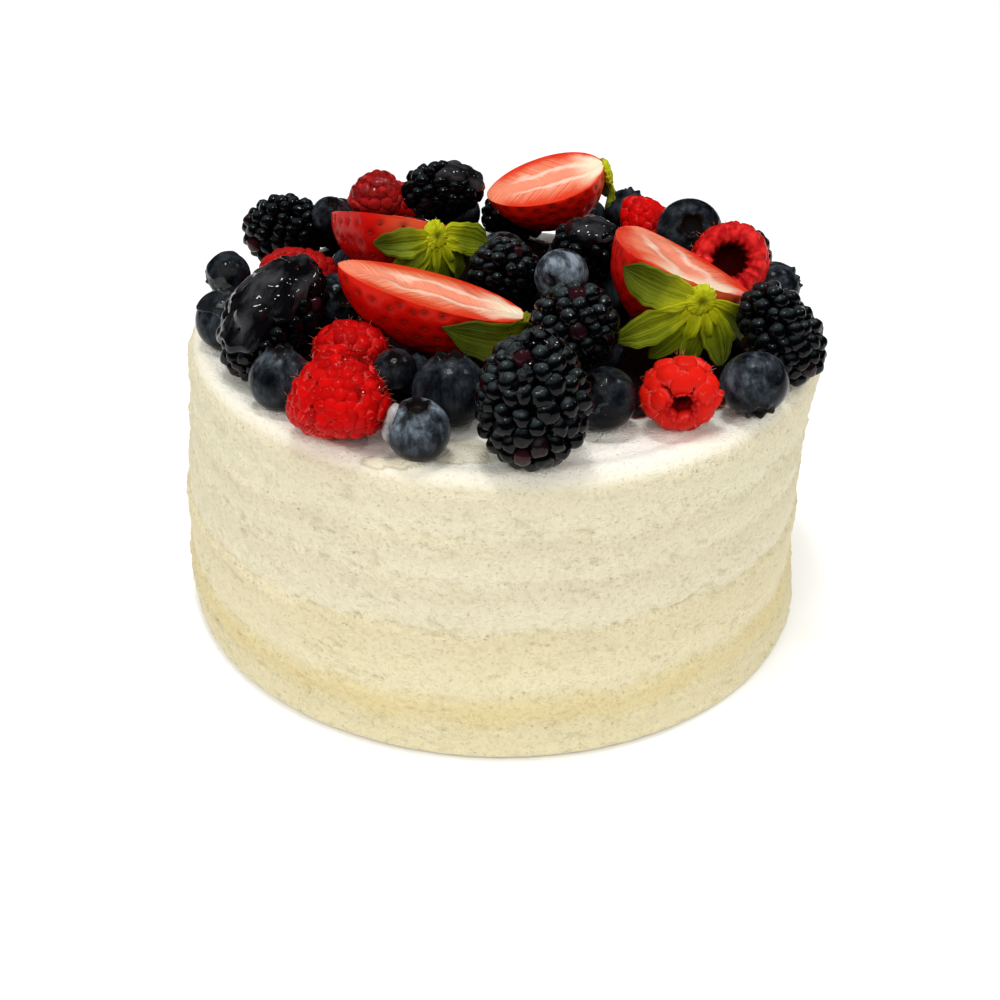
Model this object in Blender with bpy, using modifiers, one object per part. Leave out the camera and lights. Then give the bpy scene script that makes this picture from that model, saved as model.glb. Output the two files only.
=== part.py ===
"""Chantilly cake: a round cake iced in whipped cream, heaped with whole berries and halved strawberries.

Metres, +Z up. The origin is the centre of the flat base and the front is at -Y. Every fruit is given a
place on the cake's top and is lowered until it rests on the cream or on the fruits under it.
"""

import math
import random
from collections import namedtuple

import bmesh
import bpy
from mathutils import Matrix, Vector
from mathutils.bvhtree import BVHTree

MM = 0.001

# The iced cake, in millimetres.
CAKE_HEIGHT = 74
BASE_RADIUS = 86
BASE_CHAMFER = 1.5
WALL_TAPER = 5.5  # how much narrower the wall is at the top than at the base
EDGE_ROUND = 5
TOP_DISH = 1.0  # how far the middle of the top lies below its rim
RIDGES = (10, 17, 35, 48, 59)  # heights of the steps that the icing comb left in the wall
RIDGE_STEP = 0.9
RIDGE_FACE = 0.8  # height of each step's face
CAKE_SIDES = 48
UNEVEN_FROM = 0.75  # the wall is even up to this share of its height
UNEVEN_EDGE = 6  # the higher, the closer to the rim the unevenness stays
RIM_WAVE = 1.6  # the rim is this much higher at the sides than at the front and back
LIP_ANGLE = -8  # degrees from +X, where the cream was pushed up and out
LIP_SPREAD = 24
LIP_RISE = 3.5
LIP_REACH = 2.0
LEAN = 1.9  # the wall stands out this much on the left, and in on the right, where it leans most
LEAN_SKEW = 0.57  # below 1, it leans most below the middle of its height

# Fruit shapes, as shares of the fruit's own width or length.
DRUPELET_VALLEY = 0.9
DRUPELET_UNEVEN = 0.05
RASPBERRY_TAPER = 0.22
BRAMBLE_TAPER = 0.06
STEM_HOLLOW_SIDES = 8
STEM_HOLLOW_END = 0.22
STEM_HOLLOW_DEPTH = 0.5
STEM_HOLLOW_MOUTH = {"hollow_raspberry": 0.3, "open_raspberry": 0.75}
BLUEBERRY_SIDES = 10
BLUEBERRY_PROFILE = (  # (radius, height) from the crown down, as shares of the width
    (0.0, 0.37),
    (0.10, 0.38),
    (0.15, 0.455),
    (0.24, 0.42),
    (0.43, 0.24),
    (0.50, 0.0),
    (0.42, -0.25),
    (0.22, -0.41),
    (0.0, -0.45),
)
BLUEBERRY_FLATNESS = 0.92  # the profile's height as a share of its width
STRAWBERRY_SIDES = 16
STRAWBERRY_RINGS = 8
STRAWBERRY_WIDEST = {"strawberry": 0.74, "round_strawberry": 0.56}  # share of the length from the tip
STRAWBERRY_POINTEDNESS = {"strawberry": 0.72, "round_strawberry": 0.6}

# Calyx leaves, in millimetres.
HUB_RADIUS = 3.2
HUB_SIDES = 24
CALYX_GAP = 1.0  # between the strawberry and the middle of a leaf's thickness
LEAF_THICKNESS = 0.8
LEAF_STEPS = 5  # along each leaf
LEAF_FOLD = 0.25  # height of a leaf's edges over its midrib, as a share of its half width
LEAF_LEAN = 8  # degrees by which every leaf leans to its side
MIDRIB_STEPS = 40

CLEARANCE = 0.5  # left between a fruit and what it rests on
SMOOTH_BELOW = 50  # degrees between faces, under which the edge is shaded smooth
SEED = 7

# Colour and roughness of each kind of piece.
FINISHES = {
    "cake": ((0.87, 0.83, 0.72), 0.75),
    "bramble": ((0.022, 0.016, 0.026), 0.25),
    "raspberry": ((0.52, 0.035, 0.05), 0.4),
    "blueberry": ((0.065, 0.085, 0.13), 0.5),
    "strawberry": ((0.60, 0.055, 0.03), 0.3),
    "calyx": ((0.16, 0.20, 0.03), 0.5),
}

# What is on the cake. Places and sizes are in millimetres and angles in degrees. An axis points from a
# fruit's stem end to its tip, or out of a blueberry's crown: heading turns it from +X towards +Y, and
# tilt lifts it above the level. Roll turns the fruit about that axis. A strawberry half with a roll of 0
# has its cut face up. The order is the order in which they are laid on the cake.
Fruit = namedtuple("Fruit", "kind x y width length heading tilt roll", defaults=(0,))
FRUITS = (
    # on the cream along the front edge, from the middle to the right
    Fruit("bramble", 7, -71, 25, 30, 90, 72),
    Fruit("blueberry", 23, -55, 14.5, 14, -150, 40),
    Fruit("hollow_raspberry", 39.5, -54.5, 17.5, 16, 90, 5),
    Fruit("blueberry", 57, -49, 15.5, 14.5, -80, -39),
    Fruit("bramble", 65, -34, 18.5, 27, 150, 50),
    # on the cream along the left edge and inside the front edge
    Fruit("bramble", -54, -31, 22, 34, 56, 35),
    Fruit("blueberry", -50, -50, 14.5, 14.5, 90, 80),
    Fruit("raspberry", -35, -63.5, 21.5, 20.5, 90, 72),
    Fruit("blueberry", -17.5, -70.5, 14, 13.5, -90, 77),
    Fruit("blueberry", -69, -20, 14, 14.5, 60, 60),
    Fruit("blueberry", -74, 10, 12.5, 11.5, 180, 0),
    Fruit("bramble", -63, 38, 21, 26, -10, 10),
    Fruit("blueberry", -11.5, -54, 17.5, 16.5, 90, 80),
    Fruit("blueberry", -24, -51, 10, 9, -90, 60),
    Fruit("raspberry", -35, -40, 16.5, 19, -20, 30),
    # on the cream along the back edge, from left to right
    Fruit("blueberry", -50, 53, 16, 15, 130, 40),
    Fruit("raspberry", -34, 64, 18, 19, 110, 50),
    Fruit("blueberry", -16, 69, 16, 15, 110, 40),
    Fruit("bramble", 4, 69, 18, 25, 10, 10),
    Fruit("blueberry", 24, 67, 15, 14, 90, 50),
    Fruit("raspberry", 51, 51, 17, 18, 80, 60),
    Fruit("bramble", 67, 31, 16, 22, 95, 15),
    Fruit("blueberry", 72, 8, 14, 13, 0, 30),
    # on the cream further in, under the upper layer
    Fruit("blueberry", -43, -5, 15, 14, -60, 30),
    Fruit("blueberry", -43, 27, 12, 10, 20, 60),
    Fruit("blueberry", -27, 45, 15, 14, 110, 70),
    Fruit("blueberry", -19, 23, 15, 14, 200, 50),
    Fruit("blueberry", -1, 33, 15, 14, 290, 60),
    Fruit("blueberry", 19, 33, 15, 14, 20, 70),
    Fruit("blueberry", 41, 41, 8, 7, 110, 50),
    Fruit("blueberry", 50, 14, 13, 12, 200, 60),
    Fruit("blueberry", -11, -7, 12, 11, 290, 70),
    Fruit("blueberry", 8, 10, 14, 13, 20, 50),
    Fruit("blueberry", 30, 8, 14, 13, 110, 60),
    Fruit("blueberry", 13, -12, 13, 12, 200, 70),
    Fruit("blueberry", 59, -13, 13, 12, 290, 50),
    Fruit("blueberry", 23, -27, 14, 13, 20, 60),
    Fruit("blueberry", 45, -40, 10, 9, 20, 0),
    Fruit("blueberry", -21, -41, 11, 10, 110, 70),
    # the upper layer
    Fruit("raspberry", -55, 9, 16, 22, 0, 10),
    Fruit("round_strawberry", -17, -30, 30, 45, 180, 15, 6),
    Fruit("strawberry", -31.5, 13.5, 33, 39, 135, -12, 20),
    Fruit("round_strawberry", 11, 53, 30, 35, 183, -16, -9),
    Fruit("bramble", 22, 7, 17, 20, 0, 10),
    Fruit("strawberry", 41.5, -11, 35, 42, 105, 0, 21),
    Fruit("blueberry", -49, 31.5, 10.5, 10, -60, 60),
    Fruit("bramble", -18.5, 49, 17, 25, 0, 5),
    Fruit("raspberry", -38, 46, 13.5, 16, 200, -10),
    Fruit("blueberry", 36.5, 64, 13, 12.5, 60, 50),
    Fruit("blueberry", 50, 23, 18, 17.5, -95, 30),
    Fruit("raspberry", 40, 40, 14, 18, 150, 40),
    Fruit("bramble", 16.5, -39, 21.5, 22, -60, 50),
    Fruit("bramble", 0, -5, 19, 22, -120, 30),
    Fruit("blueberry", 14, -13, 13.5, 13, -60, -30),
    Fruit("open_raspberry", 58.5, 7, 20, 17, 83, -25),
)

# The leaves at the stem end of each strawberry half, in the order of the halves above. Azimuth is where a
# leaf points round the stem: 0 is away from the cut face and 90 is to the half's +Y side. A leaf follows
# the shoulder until the shoulder has turned by hug degrees, and bends by curl degrees from there to its tip.
Sepal = namedtuple("Sepal", "azimuth length width hug curl")
CALYXES = (
    (Sepal(-90, 25, 9, 90, 0), Sepal(75, 6, 4, 20, -60), Sepal(0, 5, 4, 20, -60)),
    (
        Sepal(-75, 14, 5, 70, -20),
        Sepal(-42, 15, 5, 65, -10),
        Sepal(-9, 14, 5, 65, 0),
        Sepal(24, 14, 5, 55, -10),
        Sepal(57, 15, 5, 40, -20),
        Sepal(90, 17, 6, 10, -10),
    ),
    (Sepal(75, 8, 4, 30, -30), Sepal(-30, 7, 5, 40, -20), Sepal(30, 7, 5, 30, -30)),
    (
        Sepal(-90, 18, 8, 75, 10),
        Sepal(-47, 20, 7, 10, -10),
        Sepal(-12, 16, 5, 25, 0),
        Sepal(17, 16, 5, 25, 0),
        Sepal(46, 17, 5, 10, 0),
        Sepal(75, 22, 5, 30, 0),
    ),
)


def direction(heading, tilt):
    """The unit vector at this heading and tilt, in degrees."""
    turn, lift = math.radians(heading), math.radians(tilt)
    return Vector((math.cos(turn) * math.cos(lift), math.sin(turn) * math.cos(lift), math.sin(lift)))


def orientation(fruit):
    """The rotation that turns a fruit from its own frame, axis along +Z, to how it lies on the cake."""
    axis = direction(fruit.heading, fruit.tilt)
    upward = direction(fruit.heading, fruit.tilt + 90)
    side = axis.cross(upward)
    lying = Matrix((upward, side, axis)).transposed()
    return lying @ Matrix.Rotation(math.radians(fruit.roll), 3, "Z")


def object_from(bm, name):
    """A new object with this mesh, in no collection yet."""
    mesh = bpy.data.meshes.new(name)
    bm.to_mesh(mesh)
    bm.free()
    return bpy.data.objects.new(name, mesh)


def evaluated_mesh(obj):
    """The object's mesh with its modifiers applied, as a bmesh. The object itself is removed."""
    bpy.context.scene.collection.objects.link(obj)
    graph = bpy.context.evaluated_depsgraph_get()
    mesh = bpy.data.meshes.new_from_object(obj.evaluated_get(graph))
    bpy.data.objects.remove(obj)
    bm = bmesh.new()
    bm.from_mesh(mesh)
    bpy.data.meshes.remove(mesh)
    return bm


def turned(profile, sides):
    """A solid of revolution about Z from (radius, height) points that run from the top to the bottom."""
    mesh = bpy.data.meshes.new("outline")
    points = [(radius, 0, height) for radius, height in profile]
    mesh.from_pydata(points, [(i, i + 1) for i in range(len(points) - 1)], [])
    outline = bpy.data.objects.new("outline", mesh)
    screw = outline.modifiers.new("Turn", "SCREW")
    screw.steps = screw.render_steps = sides
    screw.use_merge_vertices = True
    screw.merge_threshold = 0.00001
    return evaluated_mesh(outline)


def wall_radius(height):
    """The radius of the iced wall at this height: a taper that steps in above each ridge."""
    edges = (0, *RIDGES, CAKE_HEIGHT)
    lower = max(edge for edge in edges if edge < height)
    upper = min(edge for edge in edges if edge >= height)
    share = (height - lower) / (upper - lower)
    return BASE_RADIUS - WALL_TAPER * height / CAKE_HEIGHT + RIDGE_STEP * (share - 0.5)


def cake_profile():
    """(radius, height) in metres from the middle of the top to the middle of the base."""
    rim = wall_radius(CAKE_HEIGHT - EDGE_ROUND)
    dished = CAKE_HEIGHT - TOP_DISH
    points = [(0, dished), (rim / 2, dished), (rim - 2 * EDGE_ROUND, dished)]
    for angle in (90, 60, 30, 0):
        inward = EDGE_ROUND * (1 - math.cos(math.radians(angle)))
        downward = EDGE_ROUND * (1 - math.sin(math.radians(angle)))
        points.append((rim - inward, CAKE_HEIGHT - downward))
    for ridge in reversed(RIDGES):
        points.append((wall_radius(ridge + RIDGE_FACE), ridge + RIDGE_FACE))
        points.append((wall_radius(ridge), ridge))
    points += [(BASE_RADIUS, 2 * BASE_CHAMFER), (BASE_RADIUS - BASE_CHAMFER, 0), (0, 0)]
    return [(radius * MM, height * MM) for radius, height in points]


def uneven(point):
    """Where a point of the turned cake goes.

    The wall leans to the left, most of all low down. The rim waves, and at the lip it stands up and out.
    """
    angle = math.atan2(point.y, point.x)
    up_the_wall = max(0, (point.z / MM / CAKE_HEIGHT - UNEVEN_FROM) / (1 - UNEVEN_FROM))
    to_the_rim = (math.hypot(point.x, point.y) / MM / (BASE_RADIUS - WALL_TAPER)) ** UNEVEN_EDGE
    share = up_the_wall * min(1, to_the_rim)
    from_lip = math.degrees(math.remainder(angle - math.radians(LIP_ANGLE), math.tau))
    lip = share * math.exp(-((from_lip / LIP_SPREAD) ** 2))
    rise = lip * LIP_RISE + share * RIM_WAVE * math.cos(2 * angle)
    reach = lip * LIP_REACH
    height = min(1, max(0, point.z / MM / CAKE_HEIGHT))
    lean = LEAN * math.sin(math.pi * height**LEAN_SKEW)
    return point + Vector((reach * math.cos(angle) - lean, reach * math.sin(angle), rise)) * MM


def build_cake():
    bm = turned(cake_profile(), CAKE_SIDES)
    for vertex in bm.verts:
        vertex.co = uneven(vertex.co)
    bmesh.ops.triangulate(bm, faces=bm.faces)
    return object_from(bm, "cake")


def drupelet_berry(width, length, taper, rng):
    """A berry of raised drupelets. Each point of an icosphere becomes a drupelet with a valley round it."""
    bm = bmesh.new()
    bmesh.ops.create_icosphere(bm, subdivisions=2, radius=1)
    crests = set(bm.verts)
    between_crests = list(bm.edges)
    bmesh.ops.poke(bm, faces=bm.faces)
    bmesh.ops.rotate_edges(bm, edges=between_crests)
    spin = Matrix.Rotation(rng.uniform(0, math.pi), 3, "Z")
    for vertex in bm.verts:
        reach = 1 + rng.uniform(-1, 1) * DRUPELET_UNEVEN if vertex in crests else DRUPELET_VALLEY
        unit = spin @ vertex.co.normalized()
        across = reach * width / 2 * (1 - taper * unit.z)
        vertex.co = Vector((unit.x * across, unit.y * across, unit.z * reach * length / 2))
    return bm


def hollowed(bm, mouth, width, length):
    """The berry with the tapered hollow that its stem left, open at the stem end."""
    cone = bmesh.new()
    bmesh.ops.create_cone(
        cone,
        cap_ends=True,
        segments=STEM_HOLLOW_SIDES,
        radius1=(2 * mouth - STEM_HOLLOW_END) * width / 2,
        radius2=STEM_HOLLOW_END * width / 2,
        depth=2 * STEM_HOLLOW_DEPTH * length,
        matrix=Matrix.Translation((0, 0, -length / 2)),
    )
    cutter = object_from(cone, "stem_hollow")
    berry = object_from(bm, "berry")
    cut = berry.modifiers.new("Hollow", "BOOLEAN")
    cut.operation = "DIFFERENCE"
    cut.object = cutter
    hollow = evaluated_mesh(berry)
    bpy.data.objects.remove(cutter)
    return hollow


def blueberry(width, length):
    """A round berry, slightly flat, with a low crown."""
    tall = length / BLUEBERRY_FLATNESS
    return turned([(radius * width, height * tall) for radius, height in BLUEBERRY_PROFILE], BLUEBERRY_SIDES)


def strawberry_outline(kind, width, length):
    """(radius, height) from the tip down: a blunt cone, then a shoulder that is a quarter of an ellipse."""
    widest = STRAWBERRY_WIDEST[kind]
    points = []
    for ring in range(STRAWBERRY_RINGS + 1):
        share = (1 - math.cos(math.pi * ring / STRAWBERRY_RINGS)) / 2
        if share < widest:
            radius = (1 - (1 - share / widest) ** 2) ** STRAWBERRY_POINTEDNESS[kind]
        else:
            radius = math.sqrt(max(0, 1 - ((share - widest) / (1 - widest)) ** 2))
        points.append((radius * width / 2, (0.5 - share) * length))
    return points


def strawberry_half(kind, width, length):
    """A strawberry cut along its length, with the flat cut face towards +X."""
    bm = turned(strawberry_outline(kind, width, length), STRAWBERRY_SIDES)
    everything = [*bm.verts, *bm.edges, *bm.faces]
    bmesh.ops.bisect_plane(
        bm, geom=everything, plane_co=(0, 0, 0), plane_no=(1, 0, 0), clear_outer=True, dist=0.00001
    )
    rim = [edge for edge in bm.edges if edge.is_boundary]
    bmesh.ops.contextual_create(bm, geom=rim)
    return bm


def fruit_mesh(fruit, rng):
    """The fruit in its own frame, as a bmesh."""
    width, length = fruit.width * MM, fruit.length * MM
    if fruit.kind == "blueberry":
        bm = blueberry(width, length)
    elif fruit.kind in STRAWBERRY_WIDEST:
        bm = strawberry_half(fruit.kind, width, length)
    elif fruit.kind == "bramble":
        bm = drupelet_berry(width, length, BRAMBLE_TAPER, rng)
    else:
        bm = drupelet_berry(width, length, RASPBERRY_TAPER, rng)
        if fruit.kind in STEM_HOLLOW_MOUTH:
            bm = hollowed(bm, STEM_HOLLOW_MOUTH[fruit.kind], width, length)
    bmesh.ops.triangulate(bm, faces=bm.faces)
    bmesh.ops.recalc_face_normals(bm, faces=bm.faces)
    return bm


def midrib(sepal, width, shoulder):
    """(radius, height) along a leaf from the middle of the stem: round the shoulder, then free.

    The shoulder is a quarter of an ellipse, and the height is measured from the berry's widest place.
    """
    across, along = width / 2 + CALYX_GAP, shoulder + CALYX_GAP
    stride = (HUB_RADIUS + sepal.length) / MIDRIB_STEPS
    radius, height, turn, slope = 0.0, -along, 0.0, 0.0
    points = [(radius, height)]
    for _ in range(MIDRIB_STEPS):
        if turn < math.radians(sepal.hug):
            turn += stride / math.hypot(across * math.cos(turn), along * math.sin(turn))
            radius, height = across * math.sin(turn), -along * math.cos(turn)
            slope = math.atan2(along * math.sin(turn), across * math.cos(turn))
        else:
            slope += math.radians(sepal.curl) / MIDRIB_STEPS
            radius += stride * math.cos(slope)
            height += stride * math.sin(slope)
        points.append((radius, height))
    return points


def leaf_rows(sepal, points, widest_place):
    """The (left, middle, right) points across a leaf, from near the hub to near its tip, and the tip."""
    azimuth = math.radians(sepal.azimuth)
    outward = Vector((-math.cos(azimuth), math.sin(azimuth), 0))
    sideways = Vector((math.sin(azimuth), math.cos(azimuth), 0))
    hub_share = HUB_RADIUS / (HUB_RADIUS + sepal.length)
    rows = []
    for step in range(1, LEAF_STEPS + 1):
        share = step / LEAF_STEPS
        radius, height = points[round((hub_share + (1 - hub_share) * share) * MIDRIB_STEPS)]
        slant = sideways * math.tan(math.radians(LEAF_LEAN)) * radius * (1 - share)
        rib = outward * radius + slant + Vector((-HUB_RADIUS, 0, widest_place + height))
        half = sepal.width / 2 * math.sin(math.pi * share)
        lift = (outward - Vector((0, 0, 1))) * LEAF_FOLD * half
        rows.append([(rib + offset) * MM for offset in (lift - sideways * half, Vector(), lift + sideways * half)])
    tip = rows.pop()[1]
    return rows, tip


def add_leaf(bm, base, rows, tip):
    """Adds a leaf's surface to the hub, from three neighbouring points of the hub's rim to the tip."""
    previous = base
    for row in rows:
        current = [bm.verts.new(point) for point in row]
        for side in range(2):
            bm.faces.new((previous[side], previous[side + 1], current[side + 1], current[side]))
        previous = current
    end = bm.verts.new(tip)
    for side in range(2):
        bm.faces.new((previous[side], previous[side + 1], end))


def calyx(fruit, sepals, name):
    """A hub at the half strawberry's stem end with a leaf for each sepal, in the strawberry's frame."""
    shoulder = (1 - STRAWBERRY_WIDEST[fruit.kind]) * fruit.length
    widest_place = shoulder - fruit.length / 2
    stem_end = -fruit.length / 2 - CALYX_GAP
    bm = bmesh.new()
    centre = Matrix.Translation(Vector((-HUB_RADIUS, 0, stem_end)) * MM) @ Matrix.Rotation(math.pi, 4, "Z")
    hub = bmesh.ops.create_circle(
        bm, cap_ends=True, cap_tris=True, segments=HUB_SIDES, radius=HUB_RADIUS * MM, matrix=centre
    )
    rim = [vertex for vertex in hub["verts"] if vertex.is_boundary]
    rim.sort(key=lambda vertex: round(math.atan2(vertex.co.y, -vertex.co.x - HUB_RADIUS * MM), 3))
    for sepal in sepals:
        index = round((sepal.azimuth + 180) / 360 * HUB_SIDES)
        base = [rim[(index + side) % HUB_SIDES] for side in (-1, 0, 1)]
        points = midrib(sepal, fruit.width, shoulder)
        rows, tip = leaf_rows(sepal, points, widest_place)
        add_leaf(bm, base, rows, tip)
    bmesh.ops.triangulate(bm, faces=bm.faces)
    bmesh.ops.recalc_face_normals(bm, faces=bm.faces)
    leaves = object_from(bm, name)
    skin = leaves.modifiers.new("Thickness", "SOLIDIFY")
    skin.thickness = LEAF_THICKNESS * MM
    skin.offset = 0
    return leaves


class Heap:
    """The cake and the fruits laid on it so far, as one set of triangles to rest the next fruit on."""

    def __init__(self):
        self.points, self.faces = [], []

    def add(self, obj):
        start = len(self.points)
        self.points += [obj.matrix_basis @ vertex.co for vertex in obj.data.vertices]
        self.faces += [[start + i for i in face.vertices] for face in obj.data.polygons]
        self.tree = BVHTree.FromPolygons(self.points, self.faces)

    def drop_under(self, obj):
        """How far obj can be lowered until it is CLEARANCE above what lies under it."""
        down = Vector((0, 0, -1))
        points = [obj.matrix_basis @ vertex.co for vertex in obj.data.vertices]
        own = BVHTree.FromPolygons(points, [face.vertices for face in obj.data.polygons])
        gaps = [self.tree.ray_cast(point, down)[3] for point in points]
        low_x, high_x = min(p.x for p in points), max(p.x for p in points)
        low_y, high_y = min(p.y for p in points), max(p.y for p in points)
        for point in self.points:
            if low_x < point.x < high_x and low_y < point.y < high_y:
                gaps.append(own.ray_cast(point, -down)[3])
        return min(gap for gap in gaps if gap is not None) - CLEARANCE * MM


def lay_fruits(heap):
    """Builds each fruit in turn and lowers it onto the heap. Returns (fruit, object) pairs."""
    counts, laid = {}, []
    rng = random.Random(SEED)
    for fruit in FRUITS:
        kind = fruit.kind.split("_")[-1]
        counts[kind] = counts.get(kind, 0) + 1
        obj = object_from(fruit_mesh(fruit, rng), f"{kind}_{counts[kind]}")
        obj.rotation_euler = orientation(fruit).to_euler()
        obj.location = (fruit.x * MM, fruit.y * MM, 3 * CAKE_HEIGHT * MM)
        obj.location.z -= heap.drop_under(obj)
        heap.add(obj)
        laid.append((fruit, obj))
    return laid


def finish(obj, collection):
    """Gives the object its material and smooth shading and puts it in the collection."""
    colour, roughness = FINISHES[obj.name.split("_")[0]]
    material = bpy.data.materials.new(obj.name)
    material.use_nodes = True
    shader = material.node_tree.nodes["Principled BSDF"]
    shader.inputs["Base Color"].default_value = (*colour, 1)
    shader.inputs["Roughness"].default_value = roughness
    shader.inputs["Metallic"].default_value = 0
    obj.data.materials.append(material)
    obj.data.shade_smooth()
    obj.data.set_sharp_from_angle(angle=math.radians(SMOOTH_BELOW))
    collection.objects.link(obj)


def main():
    for obj in list(bpy.data.objects):
        bpy.data.objects.remove(obj)
    heap = Heap()
    cake = build_cake()
    heap.add(cake)
    laid = lay_fruits(heap)
    parts = [cake] + [obj for _, obj in laid]
    halves = [(fruit, obj) for fruit, obj in laid if fruit.kind in STRAWBERRY_WIDEST]
    for number, ((fruit, half), sepals) in enumerate(zip(halves, CALYXES), 1):
        leaves = calyx(fruit, sepals, f"calyx_{number}")
        leaves.parent = half
        parts.append(leaves)
    collection = bpy.data.collections.new("chantilly_cake")
    bpy.context.scene.collection.children.link(collection)
    for obj in parts:
        finish(obj, collection)


main()
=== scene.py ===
"""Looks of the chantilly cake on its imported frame: cream, berries, strawberry halves, leaves and glaze.

Each piece is modelled in millimetres in its own frame, axis along +Z, and laid where its solid lies.
"""

import functools
import math
from collections import namedtuple

import bmesh
import bpy
import numpy as np
from mathutils import Matrix, Vector

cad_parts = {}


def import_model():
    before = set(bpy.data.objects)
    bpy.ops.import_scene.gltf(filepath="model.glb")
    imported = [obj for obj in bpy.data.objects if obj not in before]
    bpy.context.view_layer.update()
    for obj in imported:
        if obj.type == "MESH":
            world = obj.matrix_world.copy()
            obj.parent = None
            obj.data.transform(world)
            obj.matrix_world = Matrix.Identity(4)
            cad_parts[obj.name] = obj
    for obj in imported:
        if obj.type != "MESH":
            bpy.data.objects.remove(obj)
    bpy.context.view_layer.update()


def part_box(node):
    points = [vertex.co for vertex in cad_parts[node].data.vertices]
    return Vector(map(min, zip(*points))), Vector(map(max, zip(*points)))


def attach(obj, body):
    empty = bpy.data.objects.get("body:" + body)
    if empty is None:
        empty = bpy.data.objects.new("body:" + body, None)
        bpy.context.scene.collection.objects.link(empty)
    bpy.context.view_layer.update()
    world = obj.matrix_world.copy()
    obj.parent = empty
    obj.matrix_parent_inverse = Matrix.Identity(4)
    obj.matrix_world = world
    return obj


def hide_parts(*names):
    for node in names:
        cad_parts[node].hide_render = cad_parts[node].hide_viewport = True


MM = 0.001
SEED = 11
STREW_ROUNDS = 12
HEXAGON = 0.866  # area of a hexagon as wide as 1 between its sides
NOISE_SHIFT = 500  # how far the noise on pieces of the same form may be shifted, in millimetres

# How the fruits of each kind lie, in degrees, and their sizes, in millimetres, in the order of the fields.
# Heading turns a fruit's axis from +X towards +Y, tilt lifts it above the level and roll turns the fruit
# about it.
Fruit = namedtuple("Fruit", "heading tilt width length roll", defaults=(0,))
KINDS = {
    "bramble": (
        (90, 72, 25, 30), (150, 50, 18.5, 27), (56, 35, 22, 34), (-10, 10, 21, 26),
        (10, 10, 18, 25), (95, 15, 16, 22), (0, 10, 17, 20), (0, 5, 17, 25), (-60, 50, 21.5, 22),
        (-120, 30, 19, 22),
    ),
    "blueberry": (
        (-150, 40, 14.5, 14), (-80, -39, 15.5, 14.5), (90, 80, 14.5, 14.5), (-90, 77, 14, 13.5),
        (60, 60, 14, 14.5), (180, 0, 12.5, 11.5), (90, 80, 17.5, 16.5), (-90, 60, 10, 9),
        (130, 40, 16, 15), (110, 40, 16, 15), (90, 50, 15, 14), (0, 30, 14, 13), (-60, 30, 15, 14),
        (20, 60, 12, 10), (110, 70, 15, 14), (200, 50, 15, 14), (290, 60, 15, 14), (20, 70, 15, 14),
        (110, 50, 8, 7), (200, 60, 13, 12), (290, 70, 12, 11), (20, 50, 14, 13), (110, 60, 14, 13),
        (200, 70, 13, 12), (290, 50, 13, 12), (20, 60, 14, 13), (20, 0, 10, 9), (110, 70, 11, 10),
        (-60, 60, 10.5, 10), (60, 50, 13, 12.5), (-95, 30, 18, 17.5), (-60, -30, 13.5, 13),
    ),
    "raspberry": (
        (90, 5, 17.5, 16), (90, 72, 21.5, 20.5), (-20, 30, 16.5, 19), (110, 50, 18, 19),
        (80, 60, 17, 18), (0, 10, 16, 22), (200, -10, 13.5, 16), (150, 40, 14, 18),
        (83, -25, 20, 17),
    ),
    "strawberry": (
        (180, 15, 30, 45, 6), (135, -12, 33, 39, 20), (183, -16, 30, 35, -9), (105, 0, 35, 42, 21),
    ),
}
FRUITS = {
    f"{kind}_{number}": Fruit(*row)
    for kind, rows in KINDS.items()
    for number, row in enumerate(rows, 1)
}
ROUND_STRAWBERRIES = ("strawberry_1", "strawberry_3")

# The leaves at the stem end of each strawberry half: where round the stem each lies, its length and width,
# how far it follows the berry and by how much its free end curls up. Angles are in degrees.
Sepal = namedtuple("Sepal", "azimuth length width hug curl")
CALYXES = {
    "strawberry_1": (
        (-90, 25, 9, 90, 0), (75, 6, 4, 20, -60), (0, 5, 4, 20, -60),
    ),
    "strawberry_2": (
        (-75, 14, 5, 70, -20), (-42, 15, 5, 65, -10), (-9, 14, 5, 65, 0), (24, 14, 5, 55, -10),
        (57, 15, 5, 40, -20), (90, 17, 6, 10, -10),
    ),
    "strawberry_3": (
        (75, 8, 4, 30, -30), (-30, 7, 5, 40, -20), (30, 7, 5, 30, -30),
    ),
    "strawberry_4": (
        (-90, 18, 8, 75, 10), (-47, 20, 7, 10, -10), (-12, 16, 5, 25, 0), (17, 16, 5, 25, 0),
        (46, 17, 5, 10, 0), (75, 22, 5, 30, 0),
    ),
}


# ---------------- meshes

@functools.lru_cache(maxsize=None)
def icosphere(level):
    """Unit directions spread evenly over a sphere, and the triangles between them."""
    bm = bmesh.new()
    bmesh.ops.create_icosphere(bm, subdivisions=level, radius=1)
    points = np.array([vertex.co[:] for vertex in bm.verts])
    faces = np.array([[vertex.index for vertex in face.verts] for face in bm.faces])
    bm.free()
    return points, faces


def closed_skin(rings, first, last):
    """Points and faces of a closed skin: rings of points from top to bottom and a point at either end."""
    count, around = rings.shape[:2]
    points = np.vstack((rings.reshape(-1, 3), first, last))
    here = np.arange(count * around).reshape(count, around)
    after = np.roll(here, -1, axis=1)
    quads = np.stack((here[:-1], here[1:], after[1:], after[:-1]), axis=-1).reshape(-1, 4)
    top, bottom = count * around, count * around + 1
    caps = [(top, a, b) for a, b in zip(here[0].tolist(), after[0].tolist())]
    caps += [(bottom, b, a) for a, b in zip(here[-1].tolist(), after[-1].tolist())]
    return points, quads.tolist() + caps


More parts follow.
